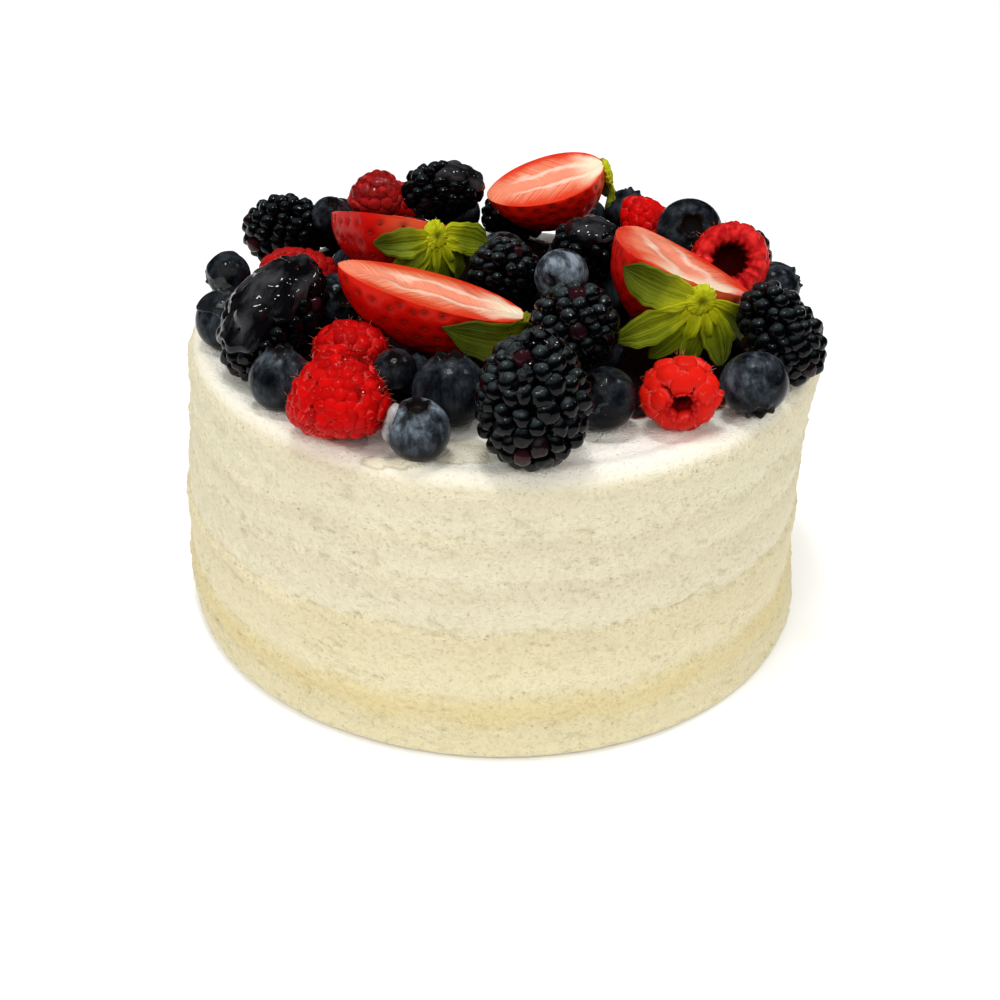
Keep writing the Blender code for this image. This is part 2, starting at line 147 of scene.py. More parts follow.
def turned(profile, around):
    """Rings of points from (radius, height) pairs turned about +Z."""
    profile = np.asarray(profile, float)
    angles = np.linspace(0, math.tau, around, endpoint=False)
    rings = np.empty((len(profile), around, 3))
    rings[:, :, 0] = profile[:, :1] * np.cos(angles)
    rings[:, :, 1] = profile[:, :1] * np.sin(angles)
    rings[:, :, 2] = profile[:, 1:]
    return rings


def as_triangles(faces):
    """Triangles that cover these triangles and four-sided faces."""
    corners = [face[:3] for face in faces]
    corners += [(face[0], face[2], face[3]) for face in faces if len(face) == 4]
    return np.array(corners)


def surface(points, triangles):
    """The normal at each point, and the area that is the point's."""
    a, b, c = (points[triangles[:, corner]] for corner in range(3))
    across = np.cross(b - a, c - a)
    total = np.zeros_like(points)
    for corner in range(3):
        for axis in range(3):
            total[:, axis] += np.bincount(triangles[:, corner], across[:, axis], len(points))
    return unit(total), np.linalg.norm(total, axis=1) / 6


def unit(vectors):
    """These vectors with a length of 1."""
    return vectors / np.maximum(np.linalg.norm(vectors, axis=-1, keepdims=True), 1e-12)


def ripples(points, wavelength, rng, count=24):
    """A smooth random field between about -1 and 1. The wavelength may differ along each axis."""
    waves = unit(rng.normal(size=(count, 3))) * rng.uniform(0.7, 1.4, (count, 1))
    phases = rng.uniform(0, math.tau, count)
    angles = points / np.asarray(wavelength) @ waves.T * math.tau + phases
    return np.cos(angles).sum(axis=1) * math.sqrt(2 / count) / 2


def relief(points, layers, rng):
    """The sum of ripples in layers of (depth, wavelength, number of waves)."""
    return sum(depth * ripples(points, wavelength, rng, count) for depth, wavelength, count in layers)


def smooth_step(values, low, high):
    """0 at low, 1 at high, the same beyond them and smooth between. Low may be the larger."""
    share = np.clip((values - low) / (high - low), 0, 1)
    return share * share * (3 - 2 * share)


def nearest_to(points, others):
    """For each point, the index of the nearest of the others."""
    return ((points[:, None] - others[None]) ** 2).sum(axis=2).argmin(axis=1)


def strewn(points, weights, count, rng):
    """As many points, spread evenly over these ones, as count says."""
    feet = points[rng.choice(len(points), count, replace=False, p=weights / weights.sum())]
    for _ in range(STREW_ROUNDS):
        nearest = nearest_to(points, feet)
        share = np.maximum(np.bincount(nearest, weights, count), 1e-9)
        middle = [np.bincount(nearest, weights * points[:, axis], count) / share for axis in range(3)]
        feet = np.column_stack(middle)
    return feet


def feet_over(points, areas, usable, spacing, choice, rng):
    """Feet about this far apart on the usable points, picked from as many of them as choice says."""
    some = usable[rng.permutation(len(usable))[:choice]]
    count = int(areas[usable].sum() / (HEXAGON * spacing**2))
    return strewn(points[some], areas[some], count, rng)


class Shape:
    """The points, faces and point values of a piece, put together from several closed skins."""

    def __init__(self):
        self.points, self.faces, self.values, self.count = [], [], [], 0

    def add(self, points, faces, **values):
        """Adds a closed skin. A value that isn't given is 0 on it."""
        self.faces += [tuple(index + self.count for index in face) for face in faces]
        self.count += len(points)
        self.points.append(points)
        self.values.append({key: np.broadcast_to(value, len(points)) for key, value in values.items()})

    def all_points(self):
        return np.vstack(self.points)

    def all_values(self):
        keys = {key: None for values in self.values for key in values}
        skins = [(values, np.zeros(len(points))) for values, points in zip(self.values, self.points)]
        return {key: np.concatenate([values.get(key, blank) for values, blank in skins]) for key in keys}


def in_scene(name, data):
    """A new object with this data, shown in the scene."""
    obj = bpy.data.objects.new(name, data)
    bpy.context.scene.collection.objects.link(obj)
    return obj


def new_piece(name, points, faces, materials, values=None, own=None, second=None):
    """A shaded object in the scene that rides on the root body. Points are in metres.

    Values holds a number for each point, own each point in the piece's own frame, and second is true for the
    faces that take the second material.
    """
    mesh = bpy.data.meshes.new(name)
    mesh.from_pydata(points.tolist(), [], faces if isinstance(faces, list) else faces.tolist())
    for key, numbers in (values or {}).items():
        attribute = mesh.attributes.new(key, "FLOAT", "POINT")
        attribute.data.foreach_set("value", np.asarray(numbers, float).ravel())
    if own is not None:
        mesh.attributes.new("own", "FLOAT_VECTOR", "POINT").data.foreach_set("vector", own.ravel())
    for material in materials:
        mesh.materials.append(material)
    if second is not None:
        mesh.polygons.foreach_set("material_index", np.asarray(second, np.int32))
    mesh.shade_smooth()
    obj = in_scene(name, mesh)
    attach(obj, "root")
    return obj


def own_rng(name, salt=0):
    """A random generator that is the same each time for a piece of this name."""
    number = sum(place * ord(letter) for place, letter in enumerate(name, 1))
    return np.random.default_rng(number + SEED + salt)


# ---------------- placing

def kind_of(node):
    """The kind of fruit that a node is, which its name starts with."""
    return node.split("_")[0]


def rotation(node):
    """The matrix that turns a fruit from its own frame to how it lies on the cake."""
    fruit = FRUITS[node]
    turn, lift, roll = (math.radians(angle) for angle in (fruit.heading, fruit.tilt, fruit.roll))
    axis = np.array((math.cos(turn) * math.cos(lift), math.sin(turn) * math.cos(lift), math.sin(lift)))
    upward = np.array((-math.cos(turn) * math.sin(lift), -math.sin(turn) * math.sin(lift), math.cos(lift)))
    lying = np.column_stack((upward, np.cross(axis, upward), axis))
    return lying @ np.array(Matrix.Rotation(roll, 3, "Z"))


def towards(node, normals, direction):
    """How much these directions in a fruit's own frame point the same way as this one on the cake."""
    return normals @ rotation(node).T @ unit(np.array(direction, float))


def place_of(node, points):
    """(rotation, origin in metres) that put these points, in millimetres, where the node's solid lies."""
    turn = rotation(node)
    lying = points @ turn.T * MM
    low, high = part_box(node)
    return turn, np.array((low + high) / 2) - (lying.min(axis=0) + lying.max(axis=0)) / 2


def laid(points, place):
    """These points of a piece, given in millimetres in its own frame, as they lie on the cake, in metres."""
    turn, origin = place
    return points @ turn.T * MM + origin


# ---------------- materials

class Paint:
    """A procedural material, with short calls for the nodes that are used here.

    Where a call takes a value, the name of one of the mesh's point attributes stands for that attribute.
    """

    def __init__(self, name):
        self.material = bpy.data.materials.new(name)
        self.material.use_nodes = True
        self.tree = self.material.node_tree
        self.shader = self.tree.nodes["Principled BSDF"]

    def add(self, kind, sockets=None, **settings):
        node = self.tree.nodes.new("ShaderNode" + kind)
        for key, value in settings.items():
            setattr(node, key, value)
        for key, value in (sockets or {}).items():
            self.plug(node.inputs[key], value)
        return node

    def plug(self, socket, value):
        """Gives the socket this value: an output, the name of an attribute, a colour or a number."""
        if isinstance(value, str):
            value = self.add("Attribute", attribute_name=value).outputs["Fac"]
        if isinstance(value, bpy.types.NodeSocket):
            self.tree.links.new(value, socket)
        elif isinstance(value, tuple) and len(value) == 3 and socket.type == "RGBA":
            socket.default_value = (*value, 1)
        else:
            socket.default_value = value

    def own(self, stretch=(1, 1, 1)):
        """The piece's own coordinates in millimetres."""
        place = self.add("Attribute", attribute_name="own").outputs["Vector"]
        return self.add("VectorMath", {0: place, 1: stretch}, operation="MULTIPLY").outputs["Vector"]

    def noise(self, scale, detail=3, roughness=0.5, stretch=(1, 1, 1)):
        sockets = {"Vector": self.own(stretch), "Scale": scale, "Detail": detail, "Roughness": roughness}
        return self.add("TexNoise", sockets).outputs["Fac"]

    def stripes(self, value, scale):
        """Noise that changes only with this value."""
        sockets = {"W": value, "Scale": scale, "Detail": 3}
        return self.add("TexNoise", sockets, noise_dimensions="1D").outputs["Fac"]

    def cells(self, scale):
        """How far each place is from the nearest of many scattered points."""
        return self.add("TexVoronoi", {"Vector": self.own(), "Scale": scale}).outputs["Distance"]

    def math(self, operation, a, b=0.0, clamp=False):
        return self.add("Math", {0: a, 1: b}, operation=operation, use_clamp=clamp).outputs[0]

    def times(self, a, b):
        return self.math("MULTIPLY", a, b)

    def span(self, value, low, high, first=0.0, last=1.0):
        """The value's place between low and high, as a number between first and last."""
        sockets = {"Value": value, "From Min": low, "From Max": high, "To Min": first, "To Max": last}
        return self.add("MapRange", sockets, interpolation_type="SMOOTHSTEP").outputs["Result"]

    def hump(self, value, low, middle, high):
        """0 at low and high, and 1 at the middle between them."""
        return self.times(self.span(value, low, middle), self.span(value, middle, high, 1, 0))

    def mix(self, share, a, b, blend="MIX"):
        node = self.add("Mix", data_type="RGBA", blend_type=blend)
        for socket, value in ((0, share), (6, a), (7, b)):
            self.plug(node.inputs[socket], value)
        return node.outputs[2]

    def layers(self, colour, *coats):
        """This colour under coats of (share, colour), each of which may name how it is blended."""
        for share, coat, *blend in coats:
            colour = self.mix(share, colour, coat, *blend)
        return colour

    def bump(self, height, distance, strength=1.0, under=None):
        sockets = {"Height": height, "Distance": distance * MM, "Strength": strength}
        if under is not None:
            sockets["Normal"] = under
        return self.add("Bump", sockets).outputs["Normal"]

    def finish(self, colour, rough, normal=None, **sockets):
        """The material, with these values in its shader."""
        self.plug(self.shader.inputs["Base Color"], colour)
        self.plug(self.shader.inputs["Roughness"], rough)
        if normal is not None:
            self.plug(self.shader.inputs["Normal"], normal)
        for key, value in sockets.items():
            self.plug(self.shader.inputs[key.replace("_", " ")], value)
        return self.material


def cream_material():
    """Whipped cream, yellower to the base, with painted shade in its hollows, painted light and shade on its
    top, and juice and painted shade under the heap.
    """
    paint = Paint("whipped_cream")
    on_top = paint.span("height", 71, 73.6)
    grain = paint.noise(0.9, 5, 0.65)
    # Painted shade in the pits of the grain that also bumps the surface, less on the top.
    pit_shade = paint.times(paint.span(grain, 0.30, 0.54, 0.7, 0), paint.span(on_top, 0, 1, 1, 0.3))
    cloud = paint.mix(paint.span(paint.noise(0.2, 3), 0.3, 0.7), (0.74, 0.71, 0.60), (0.90, 0.88, 0.80))
    juice_and_shade_mask = paint.math("ADD", "juice_and_shade", paint.span(paint.noise(0.25, 4, 0.6), 0.2, 0.8, -0.18, 0.18))
    colour = paint.layers(
        (0.845, 0.760, 0.49),
        (paint.span("height", 15.5, 17.5), (0.870, 0.785, 0.52)),
        (paint.span("height", 34.2, 35.6), (0.858, 0.790, 0.573)),
        # Painted shade: each band of the wall darker towards its top, under the ledge above it.
        (paint.span("step", 0.1, 1.0), (0.92, 0.90, 0.87), "MULTIPLY"),
        (paint.times("band", 0.95), (0.800, 0.670, 0.345)),
        # Painted light and shade on the top: the rounded crest darker, where light falls strongest, and the
        # top inside it lighter, which lifts the shade by the fruit.
        (on_top, (0.78, 0.735, 0.60)),
        ("inner", (0.97, 0.95, 0.87)),
        (paint.span(paint.noise(0.05, 3), 0.3, 0.7, 0, 0.2), (0.86, 0.77, 0.56)),
        (pit_shade, (0.82, 0.80, 0.73), "MULTIPLY"),
        # Painted shade in the torn patches, which are sunk into the wall.
        (paint.times("torn", 0.5), (0.84, 0.82, 0.74), "MULTIPLY"),
        ("wet", cloud, "MULTIPLY"),
        (paint.hump("wet", 0.1, 0.4, 0.8), (0.76, 0.73, 0.63), "MULTIPLY"),
        # Juice, reddish at its edge, and near-black painted shade for the deep shadow between the fruits
        # under the heap.
        (paint.span(juice_and_shade_mask, 0.20, 0.60), (0.26, 0.03, 0.03)),
        (paint.span(juice_and_shade_mask, 0.35, 0.8), (0.008, 0.002, 0.003)),
    )
    normal = paint.bump(grain, 1.5, paint.span(on_top, 0, 1, 0.8, 0.4))
    normal = paint.bump(paint.span(paint.cells(1.1), 0, 0.45), 0.30, 0.6, normal)
    rough = paint.span(paint.math("MAXIMUM", paint.span("juice_and_shade", 0.3, 0.8, 0, 0.6), "wet"), 0, 1, 0.62, 0.1)
    return paint.finish(colour, rough, normal, Specular_IOR_Level=0.25)


def bramble_material():
    """Near-black drupelets with a painted grey sheen on their tops, where the light falls, some with a red
    cast, and painted shade where they meet.
    """
    paint = Paint("bramble_skin")
    # Painted sheen: a grey reflection of the light on each drupelet's top, stronger on some brambles.
    painted_sheen = paint.times(paint.span("upward", 0.55, 1.05, 0, 1.3), "bloom_and_sheen")
    painted_sheen = paint.times(painted_sheen, paint.span(paint.noise(0.7, 4, 0.6), 0.3, 0.7, 0.3, 1.3))
    colour = paint.layers(
        (0.0008, 0.0010, 0.0014),
        (painted_sheen, (0.042, 0.053, 0.056)),
        (paint.span("tint", 0.93, 0.99), (0.020, 0.004, 0.006)),
        # Painted shade where the drupelets meet the skin under them.
        (paint.span("crease", 0.72, 1.0), (0.0008, 0.0004, 0.0005)),
    )
    rough = paint.span(paint.noise(0.5, 3), 0.3, 0.7, 0.12, 0.28)
    normal = paint.bump(paint.noise(1.1, 4, 0.6), 0.22, 0.6)
    return paint.finish(
        colour, rough, normal, Specular_IOR_Level=0.04, Coat_Weight=0.30, Coat_Roughness=0.06
    )


def raspberry_material():
    """Saturated red drupelets, matte, with a pale pink painted sheen at their sides, partly the colour of
    their fine hairs, and painted shade where they meet and deep in a hollow.
    """
    paint = Paint("raspberry_skin")
    # Painted sheen at each drupelet's side, partly the pale colour of its fine hairs.
    hair_and_sheen_line = paint.times(paint.hump("crease", 0.42, 0.60, 0.76), paint.span(paint.noise(0.7, 2), 0.3, 0.6))
    folds = paint.mix(paint.span(paint.noise(0.5, 3), 0.35, 0.65), (0.36, 0.004, 0.006), (0.60, 0.020, 0.018))
    colour = paint.layers(
        (0.30, 0.0008, 0.0010),
        ("tint", (0.52, 0.0020, 0.0015)),
        ("warm", (0.66, 0.014, 0.006)),
        (paint.times(hair_and_sheen_line, 0.7), (0.70, 0.06, 0.05)),
        # Painted shade where the drupelets meet the skin under them.
        (paint.span("crease", 0.72, 0.95), (0.16, 0.001, 0.002)),
        ("inside", folds),
        # Painted shade deep in a hollow berry's hole.
        ("hole", (0.06, 0.0005, 0.0006)),
        ("dusk", (0.21, 0.014, 0.014)),
        ("hair", (0.70, 0.24, 0.16)),
    )
    rough = paint.span(paint.noise(0.4, 3), 0.3, 0.7, 0.25, 0.5)
    normal = paint.bump(paint.noise(1.8, 3), 0.16, 0.5)
    return paint.finish(
        colour, rough, normal, Specular_IOR_Level=0.03, Coat_Weight=0.06, Coat_Roughness=0.06
    )


def blueberry_material():
    """Blue-black skin under a patchy, streaky grey-blue waxy coat, with painted light and shade: the coat
    shows stronger facing the light and fades underneath.
    """
    paint = Paint("blueberry_skin")
    patches = paint.span(paint.noise(0.14, 5, 0.65), 0.30, 0.76)
    streaks = paint.span(paint.noise(0.45, 4, 0.6, (1, 1, 0.3)), 0.34, 0.70, 0.15, 1)
    bloom_and_sheen = paint.times(paint.times(patches, streaks), "bloom_and_sheen")
    # Painted light and shade: the waxy coat is lighter on the side towards the light and fades underneath.
    bloom_and_sheen = paint.math("MULTIPLY", bloom_and_sheen, paint.span("upward", -0.5, 0.8, 0.15, 1.35), True)
    colour = paint.layers(
        (0.0018, 0.0022, 0.0034),
        (bloom_and_sheen, (0.19, 0.235, 0.28)),
        ("crown", (0.007, 0.005, 0.005)),
    )
    rough = paint.span(bloom_and_sheen, 0, 0.6, 0.16, 0.5)
    normal = paint.bump(paint.noise(2.0, 4), 0.08, 0.5)
    return paint.finish(colour, rough, normal, Specular_IOR_Level=0.09)


def strawberry_skin_material():
    """Glossy skin with painted shade that deepens away from the cut: orange-red along it, crimson below,
    nearly black-red underneath; also painted shade in the seed dents.
    """
    paint = Paint("strawberry_skin")
    depth = paint.math("ADD", "depth", paint.span(paint.noise(0.10, 3), 0.2, 0.8, -0.14, 0.14))
    shoulder = paint.times(paint.span("along", 0.84, 1.0), paint.span(depth, 0.9, 0.2))
    colour = paint.layers(
        (0.57, 0.009, 0.003),
        # Painted shade: the skin darker the further it lies below the cut face.
        (paint.span(depth, 0.0, 0.32), (0.41, 0.002, 0.001)),
        (paint.span(depth, 0.28, 0.95), (0.20, 0.0012, 0.0008)),
        (paint.times(shoulder, 0.35), (0.72, 0.20, 0.07)),
        # Painted shade in the seed dents.
        (paint.times("dent", 0.5), (0.10, 0.002, 0.001)),
    )
    normal = paint.bump(paint.noise(1.3, 3), 0.15, 0.5)
    return paint.finish(
        colour, 0.32, normal, Specular_IOR_Level=0.05, Coat_Weight=0.08, Coat_Roughness=0.06
    )


def strawberry_flesh_material():
    """The cut face: red margin, orange-red flesh with fine fibres, white strands round a pink pith."""
    paint = Paint("strawberry_flesh")
    wander = paint.span(paint.noise(0.13, 3), 0.2, 0.8, -0.13, 0.13)
    place = paint.math("ADD", paint.math("ABSOLUTE", "across"), wander)
    fibres = paint.span(paint.stripes("fan", 1.1), 0.36, 0.64)
    rays = paint.times(fibres, paint.span(place, 0.92, 0.45, 0, 0.6))
    strand = paint.times(paint.hump(place, 0.16, 0.30, 0.46), paint.span("along", 0.12, 0.4, 0, 0.9))
    stem_end = paint.times(paint.span("along", 0.70, 0.95), paint.span(place, 0.95, 0.6))
    colour = paint.layers(
        (0.72, 0.145, 0.062),
        (paint.span(place, 0.40, 0.90), (0.66, 0.040, 0.010)),
        (rays, (0.84, 0.40, 0.26)),
        (paint.span(place, 0.26, 0.10), (0.80, 0.25, 0.15)),
        (strand, (0.88, 0.58, 0.45)),
        (stem_end, (0.86, 0.70, 0.50)),
        (paint.span(place, 0.90, 1.02), (0.66, 0.022, 0.006)),
        (paint.span("along", 0.20, 0.03, 0, 0.7), (0.86, 0.24, 0.13)),
    )
    normal = paint.bump(fibres, 0.18, 0.6)
    return paint.finish(
        colour, 0.34, normal, Specular_IOR_Level=0.2, Coat_Weight=0.15, Coat_Roughness=0.08
    )


def seed_material():
    """Small dull seeds, brown-red."""
    paint = Paint("strawberry_seed")
    colour = paint.mix(paint.noise(0.3, 2), (0.20, 0.030, 0.006), (0.08, 0.008, 0.002))
    return paint.finish(colour, 0.45, Specular_IOR_Level=0.2)


def leaf_material():
    """Leaves that are yellow-green at the hub and dark green at the tips, with fine lengthwise veins."""
    paint = Paint("calyx_leaf")
    along = paint.math("ADD", "along", paint.span(paint.noise(0.25, 3), 0.2, 0.8, -0.15, 0.15))
    veins = paint.span(paint.stripes("side", 5.0), 0.35, 0.65)
    fine = paint.span(paint.stripes("side", 14.0), 0.45, 0.65)
    colour = paint.layers(
        (0.47, 0.47, 0.001),
        (paint.span(along, 0.05, 0.45), (0.170, 0.215, 0.002)),
        (paint.span(along, 0.40, 0.95), (0.040, 0.066, 0.001)),
        (paint.times(veins, 0.28), (0.26, 0.33, 0.006)),
        (paint.times(fine, 0.45), (0.36, 0.42, 0.02)),
        ("shade", (0.016, 0.020, 0.001)),
    )
    normal = paint.bump(veins, 0.3, 0.7)
    normal = paint.bump(paint.noise(1.2, 3), 0.15, 0.5, normal)
    return paint.finish(colour, 0.42, normal, Specular_IOR_Level=0.14)


def clear_glaze_material():
    """Clear jelly glaze."""
    paint = Paint("clear_glaze")
    normal = paint.bump(paint.noise(0.35, 2), 0.12, 0.5)
    return paint.finish((0.98, 0.98, 0.98), 0.05, normal, IOR=1.36, Transmission_Weight=1.0)


def dark_glaze_material():
    """Jelly glaze over brambles: the juice in it makes it nearly black, with smoky grey streaks."""
    paint = Paint("dark_glaze")
    smoke = paint.span(paint.noise(0.16, 5, 0.65, (1, 1, 0.5)), 0.40, 0.72)
    colour = paint.mix(smoke, (0.0022, 0.0019, 0.0024), (0.042, 0.041, 0.044))
    normal = paint.bump(paint.noise(0.25, 2), 0.45, 0.6)
    return paint.finish(colour, 0.07, normal, Specular_IOR_Level=0.25)


def milky_glaze_material():
    """Cloudy jelly glaze: lilac-grey with paler streaks."""
    paint = Paint("milky_glaze")
    cloud = paint.span(paint.noise(0.30, 4, 0.6, (1, 1, 0.5)), 0.35, 0.68)
    colour = paint.mix(cloud, (0.030, 0.022, 0.024), (0.34, 0.32, 0.32))
    normal = paint.bump(paint.noise(0.35, 3), 0.4, 0.6)
    return paint.finish(colour, 0.08, normal, Specular_IOR_Level=0.4)


# ---------------- the cake

CAKE_HEIGHT = 74
BASE_RADIUS = 86
BASE_CHAMFER = 1.5
WALL_TAPER = 5.5
EDGE_ROUND = 5
TOP_DISH = 1.0
TOP_FROM = 60
RIDGES = {10: 0.9, 17: 0.9, 35: 1.4, 48: 0.8, 59: 0.8, CAKE_HEIGHT: 0.9}
LEDGE = 1.1
YELLOW_BAND = 13.5
YELLOW_BAND_REACH = 3.6
RIM_WAVE = 1.6
LIP_ANGLE = -8
LIP_SPREAD = 24
LIP_RISE = 3.5
LIP_REACH = 2.0
LEAN = 1.9
LEAN_SKEW = 0.57
CAKE_SIDES = 560
WAVY_SHARE = 0.25
FINE_FROM = 50
COARSE_RINGS, FINE_RINGS, RISE_RINGS, EDGE_RINGS, WALL_RINGS = 11, 26, 3, 10, 106

# Ripples of the cream as layers of (depth, wavelength along each axis, number of waves), in millimetres.
LEDGE_WANDER = ((0.9, (24, 24, 60), 24), (0.5, (4, 4, 30), 60))
WANDER_STARTS = (3, 8)
WANDER_ENDS = (67, 63)
WALL_RELIEF = (
    (0.40, (60, 60, 40), 24),
    (0.10, (36, 36, 3.2), 60),
    (0.20, (5, 5, 3.5), 60),
    (0.14, (2.6, 2.6, 1.8), 80),
)
TORN_DEPTH = 0.45
SMEARS = ((0.28, (40, 40, 6.5), 40), (0.12, (16, 16, 2.6), 60))
SMEAR_RADIUS = 75
INNER_TOP = (81, 73)
TOP_GRAIN = ((0.10, (2.8, 2.8, 20), 80),)

# The fruits behind which the cream takes up juice and painted shade, round the heap.
JUICE_AND_SHADE_BEHIND = (
    "raspberry_2", "blueberry_7", "blueberry_1", "raspberry_1", "blueberry_2", "bramble_2", "blueberry_12",
    "bramble_6", "raspberry_5", "blueberry_11", "bramble_5", "blueberry_10", "raspberry_4", "blueberry_9",
    "bramble_4", "blueberry_6", "blueberry_5", "blueberry_3",
)
JUICE_SHADE_START = 4.5
JUICE_SHADE_START_BEHIND = -4.0
JUICE_SHADE_EDGE = 7

# Cream rises under fruits that start no more than this above the top, and fades as the gap under them grows.
SETTLE_BELOW = 3.5
SETTLE_GAP = 6
SETTLE_TOUCH = 0.5
SETTLE_FADE = 1.6
SETTLE_RISE = 0.9

# (x, y, half width, half depth, turn in degrees) of the glaze that ran onto the cream.
PUDDLES = ((-10.5, -69.0, 8.5, 3.0, -3), (-7.5, -66.0, 5.5, 3.6, 15), (-23.0, -73.5, 7.0, 1.4, -8))
PUDDLE_RISE = 0.6


def from_axis(points):
    """How far these points are from the cake's axis."""
    return np.hypot(points[:, 0], points[:, 1])


def on_band(height):
    """For each height on the wall, the number of the band it is on and the heights of that band's ends."""
    edges = np.array((0, *RIDGES), float)
    number = np.clip(np.searchsorted(edges, height, side="left") - 1, 0, len(edges) - 2)
    return number, edges[number], edges[number + 1]


def wall_radius(height):
    """The wall's radius at these heights: a taper on which each band ends in a ledge at its ridge."""
    number, low, high = on_band(height)
    step = np.where(high - height < LEDGE, (high - height) / LEDGE, (height - low) / (high - low - LEDGE))
    reach = np.array((*RIDGES.values(),))[number]
    return BASE_RADIUS - WALL_TAPER * height / CAKE_HEIGHT + reach * (step - 0.5)


def cake_profile():
    """(radius, height) down from the middle of the top to the base."""
    rim = float(wall_radius(np.array([CAKE_HEIGHT - EDGE_ROUND]))[0])
    middle = np.linspace(4, FINE_FROM, COARSE_RINGS + 1)[:-1]
    outer = np.linspace(FINE_FROM, rim - 2 * EDGE_ROUND, FINE_RINGS)
    flat = [(radius, CAKE_HEIGHT - TOP_DISH) for radius in (*middle, *outer)]
    rise = [
        (rim - 2 * EDGE_ROUND + EDGE_ROUND * share, CAKE_HEIGHT - TOP_DISH * (1 - smooth_step(share, 0, 1)))
        for share in np.linspace(0, 1, RISE_RINGS + 2)[1:-1]
    ]
    edge = [
        (rim - EDGE_ROUND * (1 - math.cos(angle)), CAKE_HEIGHT - EDGE_ROUND * (1 - math.sin(angle)))
        for angle in np.radians(np.linspace(90, 0, EDGE_RINGS))
    ]
    heights = np.linspace(CAKE_HEIGHT - EDGE_ROUND - 0.6, 2 * BASE_CHAMFER, WALL_RINGS)
    wall = list(zip(wall_radius(heights), heights))
    foot = [(BASE_RADIUS, 1.8), (BASE_RADIUS - 0.5, 0.8), (BASE_RADIUS - BASE_CHAMFER, 0), (60, 0), (20, 0)]
    return np.array(flat + rise + edge + wall + foot)


def uneven(points):
    """Moves the turned cake's points as its solid's: the wall leans, the rim waves, a lip stands out."""
    angle = np.arctan2(points[:, 1], points[:, 0])
    height = np.clip(points[:, 2] / CAKE_HEIGHT, 0, 1)
    up_the_wall = np.clip((height - 1 + WAVY_SHARE) / WAVY_SHARE, 0, 1)
    to_the_rim = (from_axis(points) / (BASE_RADIUS - WALL_TAPER)) ** 6
    share = up_the_wall * np.minimum(1, to_the_rim)
    from_lip = (np.degrees(angle) - LIP_ANGLE + 180) % 360 - 180
    lip = share * np.exp(-((from_lip / LIP_SPREAD) ** 2))
    rise = lip * LIP_RISE + share * RIM_WAVE * np.cos(2 * angle)
    lean = LEAN * np.sin(math.pi * height**LEAN_SKEW)
    shift = np.column_stack((lip * LIP_REACH * np.cos(angle) - lean, lip * LIP_REACH * np.sin(angle), rise))
    return points + shift


def ragged(points, rng):
    """The turned cake's points with ledges that run unevenly round it, and their heights on the bands."""
    height = points[:, 2]
    wander = relief(points, LEDGE_WANDER, rng)
    wander *= smooth_step(height, *WANDER_STARTS) * smooth_step(height, *WANDER_ENDS)
    banded = np.clip(height + wander, 0, CAKE_HEIGHT)
    moved = points.copy()
    moved[:, :2] *= 1 + (wall_radius(banded) - wall_radius(height))[:, None] / BASE_RADIUS
    return moved, banded


def cream_marks(points, rng):
    """How far the wall's cream stands out at each point, and how much of it is torn there."""
    marks = relief(points, WALL_RELIEF, rng)
    patches = smooth_step(ripples(points, (24, 24, 8), rng), -0.2, 0.6)
    torn = patches * smooth_step(ripples(points, (4.0, 4.0, 1.9), rng, 80), 0.25, 0.85)
    return marks - TORN_DEPTH * torn, torn


def top_marks(points, rng):
    """Smears of the spatula on the top, along the rim."""
    radius = from_axis(points)[:, None]
    place = np.hstack((points[:, :2] / radius * SMEAR_RADIUS, radius))
    return relief(place, SMEARS, rng) + relief(points, TOP_GRAIN, rng)


def settle(points):
    """Cream raised round the fruits that are set into it. Points are in millimetres."""
    raised = points.copy()
    for node in FRUITS:
        low, high = (np.array(corner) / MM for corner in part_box(node))
        if low[2] > CAKE_HEIGHT + SETTLE_BELOW:
            continue
        centre, half = (low + high) / 2, (high - low) / 2
        inside = 1 - (((points[:, :2] - centre[:2]) / half[:2]) ** 2).sum(axis=1)
        under = centre[2] - half[2] * np.sqrt(np.maximum(inside, 0))
        gap = under - points[:, 2]
        near = (inside > 0) & (gap < SETTLE_GAP)
        fading = (np.maximum(gap, SETTLE_TOUCH) - SETTLE_TOUCH) / SETTLE_FADE
        lift = np.where(near, SETTLE_RISE * np.exp(-(fading**2)), 0)
        raised[:, 2] = np.maximum(raised[:, 2], points[:, 2] + lift)
    return raised


def on_top(points):
    """Which points are on the top or the upper edge of the cake."""
    return points[:, 2] > TOP_FROM


def juice_and_shade_under_heap(points, rng):
    """Juice and painted shade on the top: 1 behind the outer fruits and 0 in front of them, with a soft,
    uneven edge.
    """
    centres = [sum(np.array(corner)[:2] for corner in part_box(node)) / 2 / MM for node in JUICE_AND_SHADE_BEHIND]
    turns = np.array([math.atan2(y, x) for x, y in centres])
    reach = np.array([math.hypot(x, y) for x, y in centres])
    order = np.argsort(turns)
    angle = np.arctan2(points[:, 1], points[:, 0])
    edge = np.interp(angle, turns[order], reach[order], period=math.tau)
    # Behind the heap the juice and painted shade reach out under the back fruits.
    first = JUICE_SHADE_START + (JUICE_SHADE_START_BEHIND - JUICE_SHADE_START) * smooth_step(points[:, 1], -10, 45)
    first += 2.2 * ripples(points, (15, 15, 60), rng)
    return smooth_step(edge - from_axis(points), first, first + JUICE_SHADE_EDGE) * on_top(points)


def pooled(points, rng):
    """1 in the puddles of glaze and 0 round them."""
    share = np.zeros(len(points))
    for x, y, wide, deep, turn in PUDDLES:
        away = (points[:, :2] - (x, y)) @ np.array(Matrix.Rotation(math.radians(turn), 2))
        reach = np.hypot(away[:, 0] / wide, away[:, 1] / deep) + 0.14 * ripples(points, 5, rng)
        share = np.maximum(share, smooth_step(reach, 1.3, 0.7))
    return share * on_top(points)


